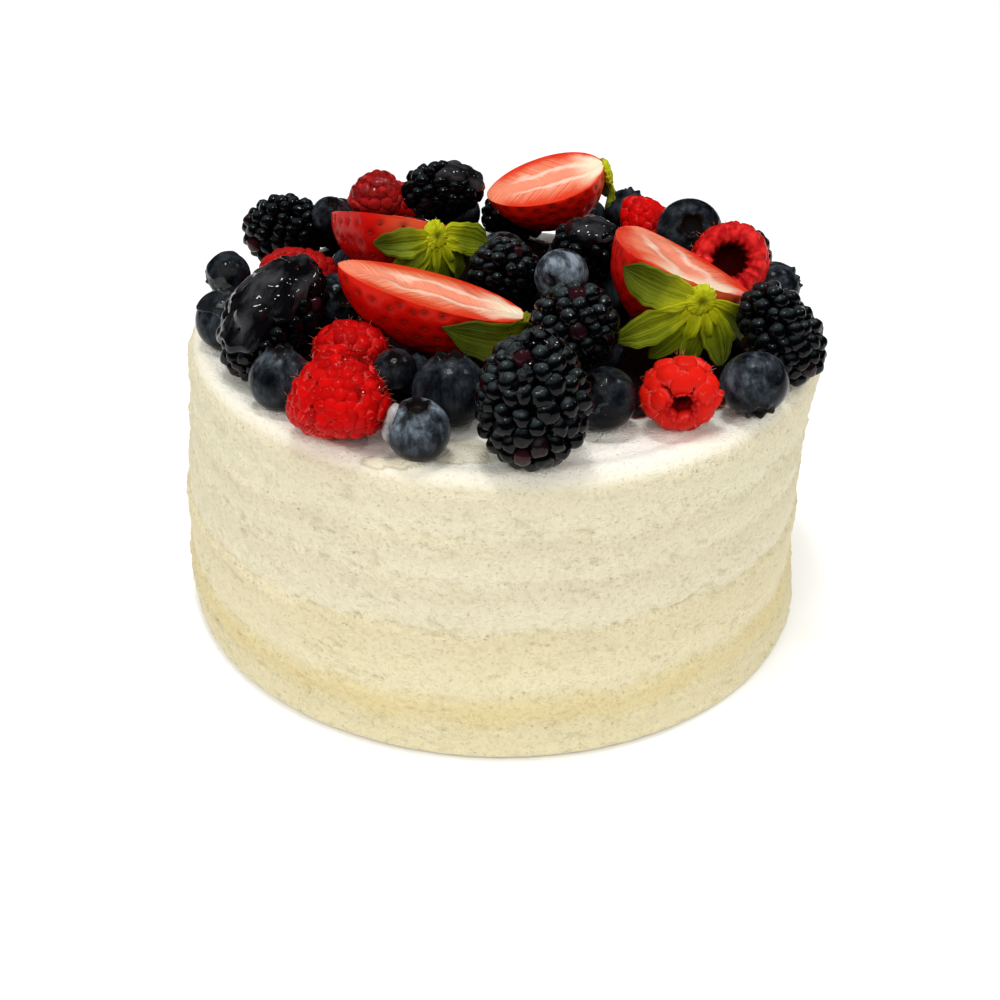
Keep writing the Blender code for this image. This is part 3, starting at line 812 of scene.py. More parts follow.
def build_cake(material):
    """Builds the iced cake with its ledges, marks of the spatula, wet places and juice with painted shade
    under the heap.
    """
    rng = np.random.default_rng(SEED)
    points, faces = closed_skin(turned(cake_profile(), CAKE_SIDES), (0, 0, CAKE_HEIGHT - TOP_DISH), (0, 0, 0))
    points, banded = ragged(points, rng)
    points = uneven(points)
    normals, _ = surface(points, as_triangles(faces))
    facing_up = smooth_step(normals[:, 2], 0.3, 0.9)
    marks, torn = cream_marks(points, rng)
    marks = marks * (1 - facing_up) + top_marks(points, rng) * facing_up
    points = points + normals * (marks * smooth_step(points[:, 2], 0, 3))[:, None]
    wet = pooled(points, rng) * facing_up
    points[:, 2] += PUDDLE_RISE * wet
    level = facing_up > 0.5
    points[level] = settle(points)[level]
    _, low, high = on_band(banded)
    values = {
        "height": banded,
        "step": (banded - low) / (high - low),
        "band": np.exp(-(((banded - YELLOW_BAND) / YELLOW_BAND_REACH) ** 4)),
        "torn": torn * (1 - facing_up),
        "wet": wet,
        "inner": smooth_step(from_axis(points), *INNER_TOP) * facing_up,
        "juice_and_shade": juice_and_shade_under_heap(points, rng),
    }
    obj = new_piece("cake_cream", points * MM, faces, [material], values, points)
    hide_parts("cake")


# ---------------- berries of drupelets

Drupelets = namedtuple("Drupelets", "spacing across high uneven taper square")
DRUPELETS = {  # half width and height as shares of the spacing, taper of the whole, squareness of each
    "bramble": Drupelets(4.6, 0.47, 0.48, 0.16, 0.06, 0.94),
    "raspberry": Drupelets(3.2, 0.60, 0.48, 0.08, 0.22, 0.8),
}
OWN_SPACING = {
    "raspberry_1": 4.7, "raspberry_9": 4.2, "bramble_1": 4.9, "bramble_10": 4.2, "raspberry_2": 3.0,
}
CORE_DEPTH = {"bramble": 0.66, "raspberry": 0.50}  # of the skin under the drupelets, in spacings
DRUPELET_SIDES = 12
HERO_SIDES = 20
DRUPELET_CHOICE = 2500
OWN_TAPER = {"raspberry_2": 0.38}
# How strong the painted sheen on the tops of each bramble's drupelets is.
BRAMBLE_PAINTED_SHEEN = {"bramble_1": 0.75, "bramble_9": 0.7, "bramble_10": 0.6, "bramble_2": 0.5, "bramble_3": 0.3}
HAIR_RADIUS = 0.055
HAIRS = {"raspberry_1": 70, "raspberry_2": 130, "raspberry_3": 70, "raspberry_9": 130}
DUSKY = {"raspberry_7": 0.55, "raspberry_6": 0.4, "raspberry_3": 0.1}
WARM = {"raspberry_1": 0.6, "raspberry_9": 0.2}
HERO = "bramble_1"

# Of a hollow raspberry: how far down its outside goes, and from there (radius, height) over the rim and in.
HOLLOWS = {
    "raspberry_1": (
        -0.92,
        ((0.44, -0.485), (0.40, -0.49), (0.37, -0.475), (0.35, -0.44), (0.33, -0.34), (0.29, -0.18),
         (0.20, -0.05), (0.08, -0.01), (0.0, 0.0)),
    ),
    "raspberry_9": (
        -0.55,
        ((0.93, -0.33), (0.87, -0.39), (0.78, -0.425), (0.67, -0.43), (0.57, -0.41), (0.49, -0.365),
         (0.44, -0.28), (0.40, -0.10), (0.34, 0.06), (0.20, 0.13), (0.0, 0.15)),
    ),
}


def spacing_of(node):
    """How far apart a berry's drupelets are."""
    return OWN_SPACING.get(node, DRUPELETS[kind_of(node)].spacing)


def taper_of(node):
    """How much narrower than its middle a berry is at its tip, as a share."""
    return OWN_TAPER.get(node, DRUPELETS[kind_of(node)].taper)


def whole_body(node, directions):
    """The points of a whole berry's outline in these directions."""
    fruit = FRUITS[node]
    across = fruit.width / 2 * (1 - taper_of(node) * directions[:, 2:])
    return np.column_stack((directions[:, :2] * across, directions[:, 2] * fruit.length / 2))


def hollow_body(node, directions):
    """The points of a cup-shaped berry in these directions, and how far each is inside and in the hole."""
    fruit = FRUITS[node]
    lowest, inward = HOLLOWS[node]
    down = np.linspace(1, lowest, 40)
    outside = np.column_stack((np.sqrt(1 - down**2) * (1 - taper_of(node) * down), down / 2))
    profile = np.vstack((outside, inward)) * (fruit.width / 2, fruit.length)
    steps = np.r_[0, np.cumsum(np.linalg.norm(np.diff(profile, axis=0), axis=1))]
    rim, mouth = (steps[len(outside) + place] / steps[-1] for place in (0, 5))
    share = np.arccos(np.clip(directions[:, 2], -1, 1)) / math.pi
    radius = np.interp(share * steps[-1], steps, profile[:, 0])
    height = np.interp(share * steps[-1], steps, profile[:, 1])
    around = unit(directions[:, :2])
    points = np.column_stack((around * radius[:, None], height))
    inside = smooth_step(share, rim - 0.03, rim + 0.03)
    return points, inside, smooth_step(share, mouth - 0.03, mouth + 0.10)


def drupelet(around, square):
    """Points of one drupelet, axis along +Z and half width 1, its faces, and how near the bottom each is."""
    polar = np.radians((18, 36, 54, 73, 94, 118))
    height = np.sign(np.cos(polar)) * np.abs(np.cos(polar)) ** square
    profile = np.column_stack((np.sin(polar) ** square, height))
    points, faces = closed_skin(turned(profile, around), (0, 0, 1), (0, 0, -0.62))
    return points, faces, np.r_[np.repeat(polar, around), 0, math.pi / 1.5] / (math.pi / 1.5)


def frames_out(normals, rng, lean=0.10):
    """For each normal, a right-handed frame whose last axis points about that way."""
    out = unit(normals + rng.normal(0, lean, normals.shape))
    side = unit(np.cross(out, rng.normal(size=out.shape)))
    return np.stack((side, np.cross(out, side), out), axis=2)


def add_drupelets(shape, node, body, normals, feet, rng):
    """Adds a drupelet with its top at the berry's outline for each foot."""
    kind = DRUPELETS[kind_of(node)]
    ball, faces, downward = drupelet(HERO_SIDES if node == HERO else DRUPELET_SIDES, kind.square)
    nearest = nearest_to(feet, body)
    frames = frames_out(normals[nearest], rng)
    sizes = rng.uniform(1 - kind.uneven, 1 + kind.uneven, (len(feet), 3))
    sizes *= spacing_of(node) * np.array((kind.across, kind.across, kind.high))
    balls = np.einsum("nij,npj->npi", frames, ball[None] * sizes[:, None])
    spots = (balls + rng.uniform(-99, 99, (len(feet), 1, 3))).reshape(-1, 3)
    balls *= 1 + 0.11 * ripples(spots, 2.4, rng).reshape(len(feet), -1, 1)
    depths = sizes[:, 2:] + rng.uniform(-0.05, 0.09, (len(feet), 1)) * spacing_of(node)
    centres = body[nearest] - frames[:, :, 2] * depths
    slopes = unit(np.einsum("nij,npj->npi", frames, ball[None] / sizes[:, None]))
    # How much each point faces the light, which the painted sheen follows.
    upward = towards(node, slopes, (-0.25, -0.1, 0.95))
    tints = rng.uniform(0, 1, len(feet))
    for centre, own_ball, lift, tint in zip(centres, balls, upward, tints):
        shape.add(centre + own_ball, faces, tint=tint, crease=downward, upward=lift)


def add_hairs(shape, body, normals, outer, count, rng):
    """Adds fine bent hairs, each a three-sided spike that stands on the berry's outline."""
    feet = rng.choice(outer, count)
    frames = frames_out(normals[feet], rng, 0.35)
    steps = np.linspace(0, 1, 5)
    for foot, frame in zip(body[feet], frames):
        long, bend = rng.uniform(0.7, 1.5), rng.uniform(-0.7, 0.7, 2)
        middle = np.column_stack((bend[0] * steps**2, bend[1] * steps**2, steps * long))
        thin = HAIR_RADIUS * (1 - 0.7 * steps)
        rings = turned([(1, 0)] * len(steps), 3) * thin[:, None, None] + middle[:, None]
        points, faces = closed_skin(rings[::-1], middle[-1], middle[0])
        shape.add(points @ frame.T + foot, faces, tint=1.0, crease=0.3, hair=1.0)


def core_of(node, body, normals, inside, rng):
    """The points of the skin under the drupelets, which is also the folded wall of a hollow."""
    deep = spacing_of(node) * CORE_DEPTH[kind_of(node)]
    core = body - normals * (deep * (1 - smooth_step(inside, 0.0, 0.6)))[:, None]
    if node in HOLLOWS:
        around = np.arctan2(body[:, 1], body[:, 0])
        folds = 0.30 * np.cos(15 * around + 2 * ripples(body, 9, rng))
        folds += 0.2 * ripples(body, (2.2, 2.2, 3.5), rng, 40)
        core += normals * (folds * smooth_step(inside, 0.2, 1.0))[:, None]
    return core


def build_drupelet_berry(node, material):
    """Builds a bramble or raspberry and returns where its drupelets stand."""
    rng = own_rng(node)
    directions, triangles = icosphere(6 if node in HOLLOWS else 5)
    if node in HOLLOWS:
        body, inside, hole = hollow_body(node, directions)
    else:
        body, inside, hole = whole_body(node, directions), np.zeros(len(directions)), 0.0
    normals, areas = surface(body, triangles)
    outer = np.flatnonzero(inside < 0.02)
    feet = feet_over(body, areas, outer, spacing_of(node), DRUPELET_CHOICE, rng)
    shape = Shape()
    core = core_of(node, body, normals, inside, rng)
    shape.add(core, triangles.tolist(), tint=0.3, crease=1.0 - inside, upward=-1.0, inside=inside, hole=hole)
    add_drupelets(shape, node, body, normals, feet, rng)
    add_hairs(shape, body, normals, outer, HAIRS.get(node, 0), rng)
    points = shape.all_points()
    values = shape.all_values()
    # How strong a bramble's painted sheen is, and how dusky or warm a raspberry is.
    for key, table, usual in (("bloom_and_sheen", BRAMBLE_PAINTED_SHEEN, 0.35), ("dusk", DUSKY, 0.0), ("warm", WARM, 0.0)):
        values[key] = np.full(len(points), table.get(node, usual))
    place = place_of(node, body)
    lying = laid(points, place)
    obj = new_piece(f"{node}_fruit", lying, shape.faces, [material], values, points)
    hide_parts(node)
    return feet


# ---------------- blueberries

BLUEBERRY_SIDES = 40
CROWN_LOBES = 5

# A blueberry's profile has a body that reaches as far up as down, and a crown on it. The last is from the
# middle out, as (radius, height), where the whole width is 1 and the whole height is CROWNED_HEIGHT.
BODY_HALF = 0.452
CROWNED_HEIGHT = 0.92
CROWN_MIDDLE = 0.357
BLUEBERRY_CROWN = (
    (0.03, 0.355), (0.07, 0.352), (0.11, 0.362), (0.135, 0.395), (0.15, 0.44), (0.17, 0.462),
    (0.195, 0.45), (0.215, 0.425), (0.245, 0.408),
)
BLUEBERRY_BLOOM = {
    "blueberry_1": 0.22, "blueberry_2": 0.6, "blueberry_3": 0.35, "blueberry_4": 1.3, "blueberry_5": 0.35,
    "blueberry_6": 0.3, "blueberry_7": 0.22, "blueberry_8": 0.2, "blueberry_29": 0.25, "blueberry_30": 0.3,
    "blueberry_31": 0.2, "blueberry_32": 1.9,
}


def blueberry_body(node, directions):
    """The points of a blueberry without its crown in these directions."""
    fruit = FRUITS[node]
    return directions * (fruit.width / 2, fruit.width / 2, BODY_HALF * fruit.length / CROWNED_HEIGHT)


def build_blueberry(node, material):
    """Builds a blueberry with a five-lobed crown."""
    rng = own_rng(node)
    fruit = FRUITS[node]
    tall = fruit.length / CROWNED_HEIGHT
    angles = np.radians(np.linspace(36, 176, 24))
    body = [(0.5 * math.sin(angle) ** 0.94, BODY_HALF * math.cos(angle)) for angle in angles]
    profile = np.array(BLUEBERRY_CROWN + tuple(body))
    rings = turned(profile, BLUEBERRY_SIDES)
    round_crown = np.exp(-(((profile[:, 0] - 0.175) / 0.035) ** 2)) * (profile[:, 1] > 0.3)
    turns = np.linspace(0, math.tau, BLUEBERRY_SIDES, endpoint=False)
    lobes = round_crown[:, None] * np.cos(CROWN_LOBES * turns + rng.uniform(0, math.tau))[None]
    rings[:, :, :2] *= fruit.width * (1 + 0.14 * lobes[:, :, None])
    rings[:, :, 2] = (rings[:, :, 2] + 0.030 * lobes) * tall
    points, faces = closed_skin(rings, (0, 0, CROWN_MIDDLE * tall), (0, 0, -BODY_HALF * tall))
    points = points * (1 + 0.018 * ripples(points, 14, rng))[:, None]
    crown = np.repeat(smooth_step(profile[:, 0], 0.24, 0.17) * (profile[:, 1] > 0.3), BLUEBERRY_SIDES)
    normals, _ = surface(points, as_triangles(faces))
    values = {
        "crown": np.r_[crown, 1, 0],
        "bloom_and_sheen": np.full(len(points), BLUEBERRY_BLOOM.get(node, 0.35)),
        # How much each point faces the light, which the painted light and shade follow.
        "upward": towards(node, normals, (-0.4, -0.2, 0.9)),
    }
    own = points + rng.uniform(-NOISE_SHIFT, NOISE_SHIFT, 3)
    lying = laid(points, place_of(node, points))
    obj = new_piece(f"{node}_fruit", lying, faces, [material], values, own)
    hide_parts(node)


# ---------------- glaze

# Which way each fruit's glaze faces, from which share of facing that way it starts, and its thickness.
Glaze = namedtuple("Glaze", "kind towards bare thick")
GLAZES = {
    "bramble_3": Glaze("dark", (-0.30, 0.05, 0.95), 0.22, 0.60),
    "bramble_1": Glaze("clear", (-0.1, -0.15, 1), 0.66, 0.20),
    "bramble_8": Glaze("dark", (0.8, 0.0, 0.6), 0.50, 0.35),
    "bramble_7": Glaze("dark", (0.1, -0.3, 1), 0.55, 0.15),
    "raspberry_2": Glaze("clear", (0.8, 0.0, 0.6), 0.70, 0.22),
    "raspberry_7": Glaze("clear", (0.0, -0.4, 1), 0.3, 0.2),
    "blueberry_6": Glaze("clear", (-0.2, -0.6, 0.5), 0.2, 0.35),
    "blueberry_5": Glaze("clear", (0.0, -0.3, 0.9), 0.5, 0.35),
    "blueberry_1": Glaze("clear", (-0.7, -0.5, 0.6), 0.5, 0.35),
    "blueberry_4": Glaze("milky", (-1.0, 0.0, 0.25), 0.62, 0.6),
}
GLAZE_EDGE = 0.28
GLAZE_SAG = 0.50
GLAZE_END_DEPTH = 4.5
FINE_GLAZE = ("bramble_1", "bramble_3", "bramble_8")


def build_glaze(node, materials, feet):
    """Builds a closed shell that lies over part of a fruit, sags between drupelets and ends in the fruit."""
    rng = own_rng(node, 5)
    glaze = GLAZES[node]
    directions, triangles = icosphere(6 if node in FINE_GLAZE else 5)
    drupelets = feet is not None
    body = whole_body(node, directions) if drupelets else blueberry_body(node, directions)
    normals, _ = surface(body, triangles)
    facing = towards(node, normals, glaze.towards)
    fill = smooth_step(facing + 0.24 * ripples(body, 8, rng), glaze.bare, glaze.bare + GLAZE_EDGE)
    wavy = glaze.thick * (1 + 0.8 * ripples(body, 7, rng) + 0.35 * ripples(body, 3.6, rng))
    if drupelets:
        away = np.sqrt(((body[:, None] - feet[None]) ** 2).sum(axis=2).min(axis=1))
        wavy -= GLAZE_SAG * smooth_step(away, 0.25, 0.62 * DRUPELETS[kind_of(node)].spacing)
    height = wavy * fill - GLAZE_END_DEPTH * (1 - fill) ** 2
    points = body + normals * height[:, None]
    place = place_of(node, body)
    material = materials[glaze.kind]
    new_piece(f"{node}_glaze", laid(points, place), triangles, [material], None, points)


# ---------------- strawberry halves

SKIN_STEPS = 96
FACE_STEPS = 44
STRAWBERRY_RINGS = 100
SEED_SPACING = 4.0
SEED_DENT = 0.45
SEED_DENT_WIDTH = 0.7
SHARP_ANGLE = 50
SEED_CHOICE = 2600
SEED_SIZE = (0.32, 0.20, 0.60)
FACE_PLACES = np.linspace(-1, 1, FACE_STEPS + 2)[1:-1]


def widest(node):
    """The share of the length from the tip at which the half is widest."""
    return 0.56 if node in ROUND_STRAWBERRIES else 0.74


def strawberry_radius(node, share):
    """The outline's radius as a share of half the width, at these shares of the length from the tip."""
    wide = widest(node)
    pointed = 0.6 if node in ROUND_STRAWBERRIES else 0.72
    front = np.maximum(0, 1 - (1 - np.minimum(share, wide) / wide) ** 2) ** pointed
    back = np.sqrt(np.maximum(0, 1 - (np.maximum(share - wide, 0) / (1 - wide)) ** 2))
    return np.where(share < wide, front, back)


def half_rings(node, shares):
    """Rings of points at these shares of a half's length: over the skin, then back across the cut face."""
    fruit = FRUITS[node]
    radii = strawberry_radius(node, shares) * fruit.width / 2
    arc = np.radians(np.linspace(90, 270, SKIN_STEPS))
    rings = np.zeros((len(shares), SKIN_STEPS + FACE_STEPS, 3))
    rings[:, :SKIN_STEPS, 0] = radii[:, None] * np.cos(arc)
    rings[:, :SKIN_STEPS, 1] = radii[:, None] * np.sin(arc)
    rings[:, SKIN_STEPS:, 1] = radii[:, None] * FACE_PLACES
    rings[:, :, 2] = ((0.5 - shares) * fruit.length)[:, None]
    return rings


def on_each_ring(values):
    """These values of one ring's points for all rings, and 0 at the two ends."""
    return np.r_[np.tile(values, STRAWBERRY_RINGS), 0, 0]


def face_relief(points, along, across, fan, rng):
    """How deep the cut face lies at each point: grooved along the pith and ribbed by the fibres."""
    groove = np.exp(-((across / 0.16) ** 2)) * smooth_step(along, 0.15, 0.4) * smooth_step(along, 1.0, 0.8)
    ribs = 0.07 * np.cos(fan * 4.2 + 1.5 * ripples(points, 7, rng)) * smooth_step(np.abs(across), 0.3, 0.5)
    return 0.7 * groove + ribs + 0.18 * ripples(points, (9, 7, 9), rng)


def build_strawberry(node, skin, flesh, seeds):
    """Builds a strawberry half with its seeds and returns how it lies."""
    rng = own_rng(node)
    fruit = FRUITS[node]
    shares = (1 - np.cos(np.linspace(0, math.pi, STRAWBERRY_RINGS + 2)[1:-1])) / 2
    ends = (0, 0, fruit.length / 2), (0, 0, -fruit.length / 2)
    points, faces = closed_skin(half_rings(node, shares), *ends)
    on_face = np.arange(SKIN_STEPS + FACE_STEPS) >= SKIN_STEPS
    along = np.r_[np.repeat(shares, len(on_face)), 0, 1]
    across = on_each_ring(np.r_[1, np.zeros(SKIN_STEPS - 2), -1, FACE_PLACES])
    on_skin = on_each_ring(np.r_[0, np.ones(SKIN_STEPS - 2), 0, np.zeros(FACE_STEPS)])
    normals, areas = surface(points, as_triangles(faces))
    place = place_of(node, points)

    usable = np.flatnonzero((on_skin > 0) & (along > 0.02) & (along < 0.985))
    feet = feet_over(points, areas, usable, SEED_SPACING, SEED_CHOICE, rng)
    squares = ((points[:, None] - feet[None]) ** 2).sum(axis=2)
    dent = np.exp(-squares.min(axis=1) / (2 * SEED_DENT_WIDTH**2)) * on_skin
    swell = 0.28 * ripples(points, 11, rng) * on_skin
    moved = points + normals * (swell - SEED_DENT * dent)[:, None]
    fan = points[:, 2] - 0.7 * np.abs(points[:, 1])
    moved[:, 0] -= face_relief(points, along, across, fan, rng) * on_each_ring(on_face)

    second = np.tile(np.arange(len(on_face)) >= SKIN_STEPS - 1, STRAWBERRY_RINGS + 1)
    depth = np.clip(-points[:, 0] / (fruit.width / 2), 0, 1)
    values = {"along": along, "across": across, "depth": depth, "fan": fan, "dent": dent}
    own = moved + rng.uniform(-NOISE_SHIFT, NOISE_SHIFT, 3)
    lying = laid(moved, place)
    obj = new_piece(f"{node}_fruit", lying, faces, [skin, flesh], values, own, second)
    obj.data.set_sharp_from_angle(angle=math.radians(SHARP_ANGLE))
    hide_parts(node)
    closest = squares.argmin(axis=0)
    add_seeds(node, moved[closest], normals[closest], place, seeds, rng)
    return place


def add_seeds(node, feet, normals, place, material, rng):
    """Small teardrop seeds, one in each dent, along the berry."""
    directions, triangles = icosphere(2)
    points, faces = [], []
    for foot, normal in zip(feet, normals):
        lengthwise = np.array((0, 0, 1)) - normal * normal[2]
        if np.linalg.norm(lengthwise) < 0.1:
            lengthwise = np.cross(normal, (0, 1, 0))
        lengthwise = unit(lengthwise)
        sideways = np.cross(lengthwise, normal)
        narrow = 1 - 0.35 * directions[:, 2:]
        seed = directions * rng.uniform(0.8, 1.05) * SEED_SIZE
        seed[:, :2] *= narrow
        faces += (triangles + len(points) * len(directions)).tolist()
        points.append(foot + normal * 0.02 + seed @ np.array((sideways, normal, lengthwise)))
    points = np.vstack(points)
    new_piece(f"{node}_seeds", laid(points, place), faces, [material], None, points)


# ---------------- calyxes

HUB_RADIUS = 3.2
HUB_SIZE = (3.8, 3.8, 1.6)
CALYX_GAP = 1.0
LEAF_FOLD = 0.25
LEAF_LEAN = 8
LEAF_THICKNESS = 0.7
LEAF_LENGTHWISE = 36
LEAF_ACROSS = 15
MIDRIB_STEPS = 80
NARROW_LEAF = 7
STEEP_HUG = 50
SHADED = {"strawberry_1": 0.65}


def midrib(sepal, width, shoulder):
    """(radius, height) along a leaf from the middle of the stem: round the shoulder, then free."""
    across, along = width / 2 + CALYX_GAP, shoulder + CALYX_GAP
    stride = (HUB_RADIUS + sepal.length) / MIDRIB_STEPS
    radius, height, turn, slope = 0.0, -along, 0.0, 0.0
    points = [(radius, height)]
    for _ in range(MIDRIB_STEPS):
        if turn < math.radians(sepal.hug):
            turn += stride / math.hypot(across * math.cos(turn), along * math.sin(turn))
            radius, height = across * math.sin(turn), -along * math.cos(turn)
            slope = math.atan2(along * math.sin(turn), across * math.cos(turn))
        else:
            slope += math.radians(sepal.curl) / MIDRIB_STEPS
            radius += stride * math.cos(slope)
            height += stride * math.sin(slope)
        points.append((radius, height))
    return np.array(points)


def leaf_outline(sepal, shares, rng):
    """Half the leaf's width at these shares of its length, with a ragged edge."""
    half = sepal.width * 0.54 * (0.30 * (1 - shares) + np.sin(math.pi * shares**0.95) ** 0.55)
    half += 0.5 if sepal.width < NARROW_LEAF else -0.3
    edge = 0.05 * np.sin(shares * 11 + rng.uniform(0, 6)) + 0.04 * np.sin(shares * 29 + rng.uniform(0, 6))
    return np.maximum(half * (1 + edge) * np.minimum(1, 6 * (1 - shares)) ** 0.5, 0.15)


def leaf_lift(half, shares, side, phases):
    """How far the leaf is lifted at each point: folded at its midrib, wavy and lined with veins."""
    size = half[:, None] / half.max()
    fold = LEAF_FOLD * half[:, None] * np.abs(side) ** 1.4
    wave = 0.55 * np.sin(shares * 7 + phases[0])[:, None] * side * size
    wave += 0.25 * np.sin(shares * 15 + phases[1])[:, None] * side**2 * size
    veins = 0.10 * np.cos(side * 9 + phases[2]) * size - 0.30 * np.exp(-((side / 0.10) ** 2)) * size
    return fold + wave + veins


def add_leaf(shape, sepal, width, shoulder, widest_place, shade, rng):
    """Adds a leaf with a rounded outline, edges that lift and fine lengthwise veins, shaded to its tip."""
    azimuth = math.radians(sepal.azimuth)
    outward = np.array((-math.cos(azimuth), math.sin(azimuth), 0))
    sideways = np.array((math.sin(azimuth), math.cos(azimuth), 0))
    downward = np.array((0, 0, -1))
    rib = midrib(sepal, width, shoulder)
    hub_share = 0.7 * HUB_RADIUS / (HUB_RADIUS + sepal.length)
    shares = np.linspace(0.02, 0.99, LEAF_LENGTHWISE)
    places = (hub_share + (1 - hub_share) * shares) * (len(rib) - 1)
    radius, height = (np.interp(places, range(len(rib)), rib[:, axis]) for axis in (0, 1))
    half = leaf_outline(sepal, shares, rng)
    slant = math.tan(math.radians(LEAF_LEAN)) * radius * (1 - shares)
    side = np.linspace(-1, 1, LEAF_ACROSS)
    phases = rng.uniform(0, math.tau, 3)
    lift = leaf_lift(half, shares, side, phases)
    sheet = (
        np.array((-HUB_RADIUS, 0, widest_place))
        + outward * radius[:, None, None]
        + sideways * (slant[:, None] + half[:, None] * side)[:, :, None]
        - downward * height[:, None, None]
        + (outward + downward) * lift[:, :, None]
    )
    normal = unit(np.cross(np.gradient(sheet, axis=0), np.gradient(sheet, axis=1)))
    thick = LEAF_THICKNESS / 2 * np.sqrt(np.maximum(0.04, 1 - side**2))[None, :, None]
    rings = np.concatenate((sheet + normal * thick, (sheet - normal * thick)[:, ::-1]), axis=1)
    points, faces = closed_skin(rings, sheet[0, LEAF_ACROSS // 2], sheet[-1, LEAF_ACROSS // 2])
    along = np.r_[np.repeat(shares, 2 * LEAF_ACROSS), 0, 1]
    sides = np.r_[np.tile(np.r_[side, side[::-1]], LEAF_LENGTHWISE), 0, 0]
    shape.add(points, faces, along=along, side=sides + phases[0], shade=shade * along**0.5)


def add_hub(shape, stem_end, rng):
    """Adds the bumpy knob where the stem was."""
    directions, triangles = icosphere(4)
    around = np.arctan2(directions[:, 1], directions[:, 0])
    ribbed = 0.07 * np.cos(13 * around) * np.linalg.norm(directions[:, :2], axis=1)
    size = np.array(HUB_SIZE) * (1 + 0.12 * ripples(directions * 4, 1.8, rng, 30) + ribbed)[:, None]
    dent = 0.7 * np.exp(-((np.linalg.norm(directions[:, :2], axis=1) / 0.3) ** 2)) * (directions[:, 2] < 0)
    points = directions * size + np.array((-HUB_RADIUS, 0, stem_end + 0.4))
    points[:, 2] += dent
    shape.add(points, triangles.tolist(), along=0.0, side=around, shade=np.minimum(dent, 0.6))


def build_calyx(number, node, place, material):
    """Builds the leaves and the hub of a strawberry half that lies in this place."""
    rng = np.random.default_rng(number * 17 + SEED)
    fruit = FRUITS[node]
    shoulder = (1 - widest(node)) * fruit.length
    widest_place = shoulder - fruit.length / 2
    shape = Shape()
    for sepal in (Sepal(*row) for row in CALYXES[node]):
        shade = rng.uniform(0, 0.15) + (0.5 if sepal.hug > STEEP_HUG else 0)
        add_leaf(shape, sepal, fruit.width, shoulder, widest_place, shade, rng)
    add_hub(shape, -fruit.length / 2 - CALYX_GAP, rng)
    points = shape.all_points()
    values = shape.all_values()
    values["shade"] = np.maximum(values["shade"], SHADED.get(node, 0.0))
    lying = laid(points, place)
    obj = new_piece(f"calyx_{number}_leaves", lying, shape.faces, [material], values, points)
    bm = bmesh.new()
    bm.from_mesh(obj.data)
    bmesh.ops.recalc_face_normals(bm, faces=bm.faces)
    bm.to_mesh(obj.data)
    bm.free()
    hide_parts(f"calyx_{number}")


# ---------------- room, lights, camera

FLOOR_HALF = 3
FLOOR_DROP = 0.0003
LIT_POINT = (0, 0, 0.06)
BROAD_ANGLE = 50
BROAD_STRENGTH = 0.88
ROOM_STRENGTH = 0.66
CAMERA_PLACE = (0, -0.29475, 0.20045)
CAMERA_PITCH = 0.551
CAMERA_ROLL = 0.026
CAMERA_LENS = 43.2
CAMERA_SENSOR = 36
CAMERA_SHIFT = 0.0011


def add_floor():
    """A pale floor just below the cake."""
    corners = [(x * FLOOR_HALF, y * FLOOR_HALF, -FLOOR_DROP) for x, y in ((-1, -1), (1, -1), (1, 1), (-1, 1))]
    mesh = bpy.data.meshes.new("floor")
    mesh.from_pydata(corners, [], [(0, 1, 2, 3)])
    floor = in_scene("floor", mesh)
    pale = (0.95, 0.95, 0.95)
    mesh.materials.append(Paint("floor").finish(pale, 0.9, Specular_IOR_Level=0.1))


def add_light(name, kind, power, aim, place=(0, 0, 0)):
    """A light that shines in the direction of aim."""
    light = in_scene(name, bpy.data.lights.new(name, kind))
    light.data.energy = power
    light.location = place
    light.rotation_euler = Vector(aim).to_track_quat("-Z", "Y").to_euler()
    return light


def add_softbox(name, place, size, power):
    """A softbox aimed at the cake."""
    light = add_light(name, "AREA", power, Vector(LIT_POINT) - Vector(place), place)
    light.data.shape = "RECTANGLE"
    light.data.size, light.data.size_y = size


def add_broad_light(name, direction):
    """A broad, even light that leaves no highlights."""
    light = add_light(name, "SUN", BROAD_STRENGTH, direction)
    light.data.angle = math.radians(BROAD_ANGLE)
    light.visible_glossy = False


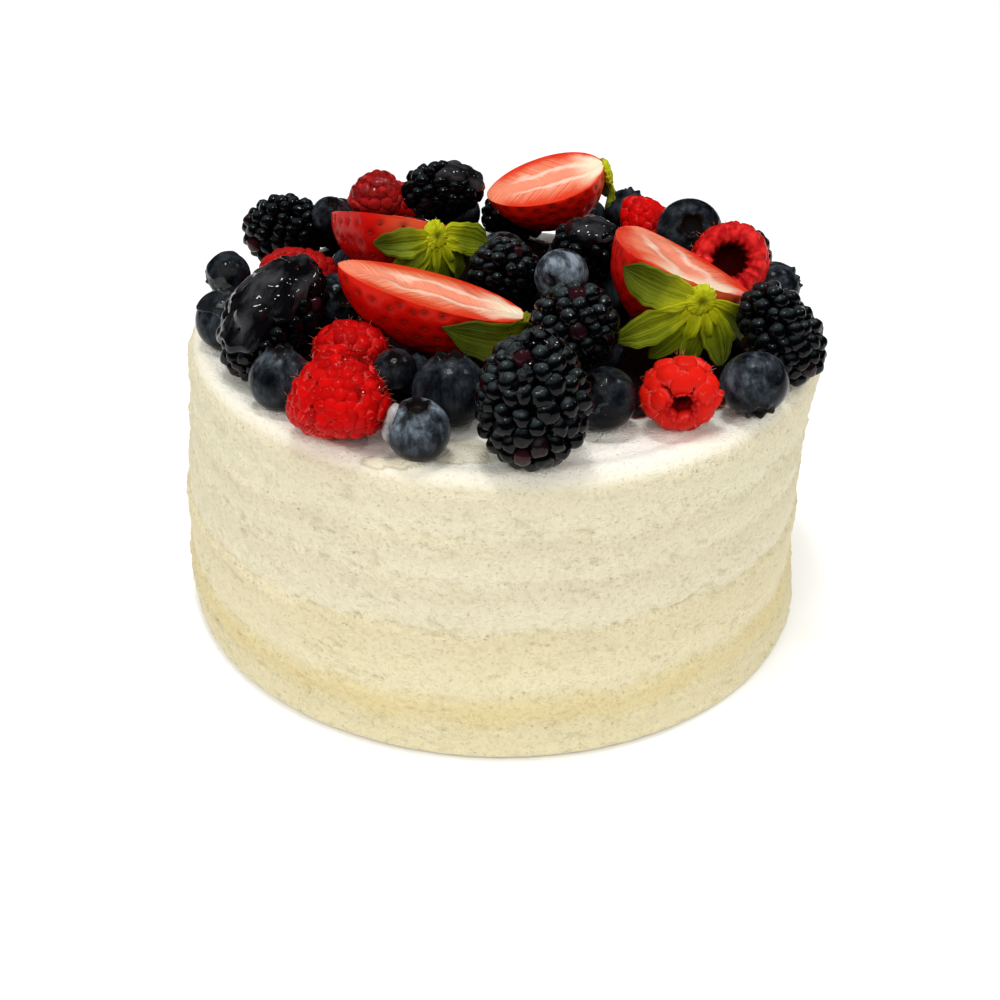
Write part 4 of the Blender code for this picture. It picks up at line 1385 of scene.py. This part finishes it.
def add_camera():
    """The camera at the photograph's viewing angle."""
    forward = Vector((0, math.cos(CAMERA_PITCH), -math.sin(CAMERA_PITCH)))
    level = Vector((1, 0, 0))
    above = Vector((0, math.sin(CAMERA_PITCH), math.cos(CAMERA_PITCH)))
    right = level * math.cos(CAMERA_ROLL) + above * math.sin(CAMERA_ROLL)
    up = above * math.cos(CAMERA_ROLL) - level * math.sin(CAMERA_ROLL)
    data = bpy.data.cameras.new("camera")
    data.lens, data.sensor_width = CAMERA_LENS, CAMERA_SENSOR
    data.shift_x = CAMERA_SHIFT
    data.clip_start = 0.01
    camera = in_scene("camera", data)
    turn = Matrix((right, up, -forward)).transposed().to_4x4()
    camera.matrix_world = Matrix.Translation(CAMERA_PLACE) @ turn
    bpy.context.scene.camera = camera


def add_lights():
    """Even light from all round and the front, and two softboxes that give the highlights."""
    world = bpy.data.worlds.new("room")
    bpy.context.scene.world = world
    world.use_nodes = True
    background = world.node_tree.nodes["Background"]
    background.inputs["Color"].default_value = (1, 1, 1, 1)
    background.inputs["Strength"].default_value = ROOM_STRENGTH
    world.cycles_visibility.glossy = False
    add_broad_light("front_left", (0.50, 0.56, -0.66))
    add_broad_light("front_right", (-0.30, 0.58, -0.76))
    add_softbox("overhead", (-0.06, -0.05, 0.75), (0.13, 0.09), 1.5)
    add_softbox("side", (0.35, 0.10, 0.55), (0.07, 0.07), 0.35)


def main():
    """Builds the cake with all that lies on it, the room and the camera."""
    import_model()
    builders = {
        "bramble": (build_drupelet_berry, bramble_material()),
        "raspberry": (build_drupelet_berry, raspberry_material()),
        "blueberry": (build_blueberry, blueberry_material()),
    }
    build_cake(cream_material())
    feet = {}
    for node in FRUITS:
        kind = kind_of(node)
        if kind in builders:
            build, material = builders[kind]
            feet[node] = build(node, material)
    skin, flesh, seeds = strawberry_skin_material(), strawberry_flesh_material(), seed_material()
    leaves = leaf_material()
    glazes = {"clear": clear_glaze_material(), "dark": dark_glaze_material(), "milky": milky_glaze_material()}
    for number, node in enumerate(CALYXES, 1):
        place = build_strawberry(node, skin, flesh, seeds)
        build_calyx(number, node, place, leaves)
    for node in GLAZES:
        build_glaze(node, glazes, feet[node])
    add_floor()
    add_lights()
    add_camera()
    bpy.context.scene.view_settings.view_transform = "Standard"


main()
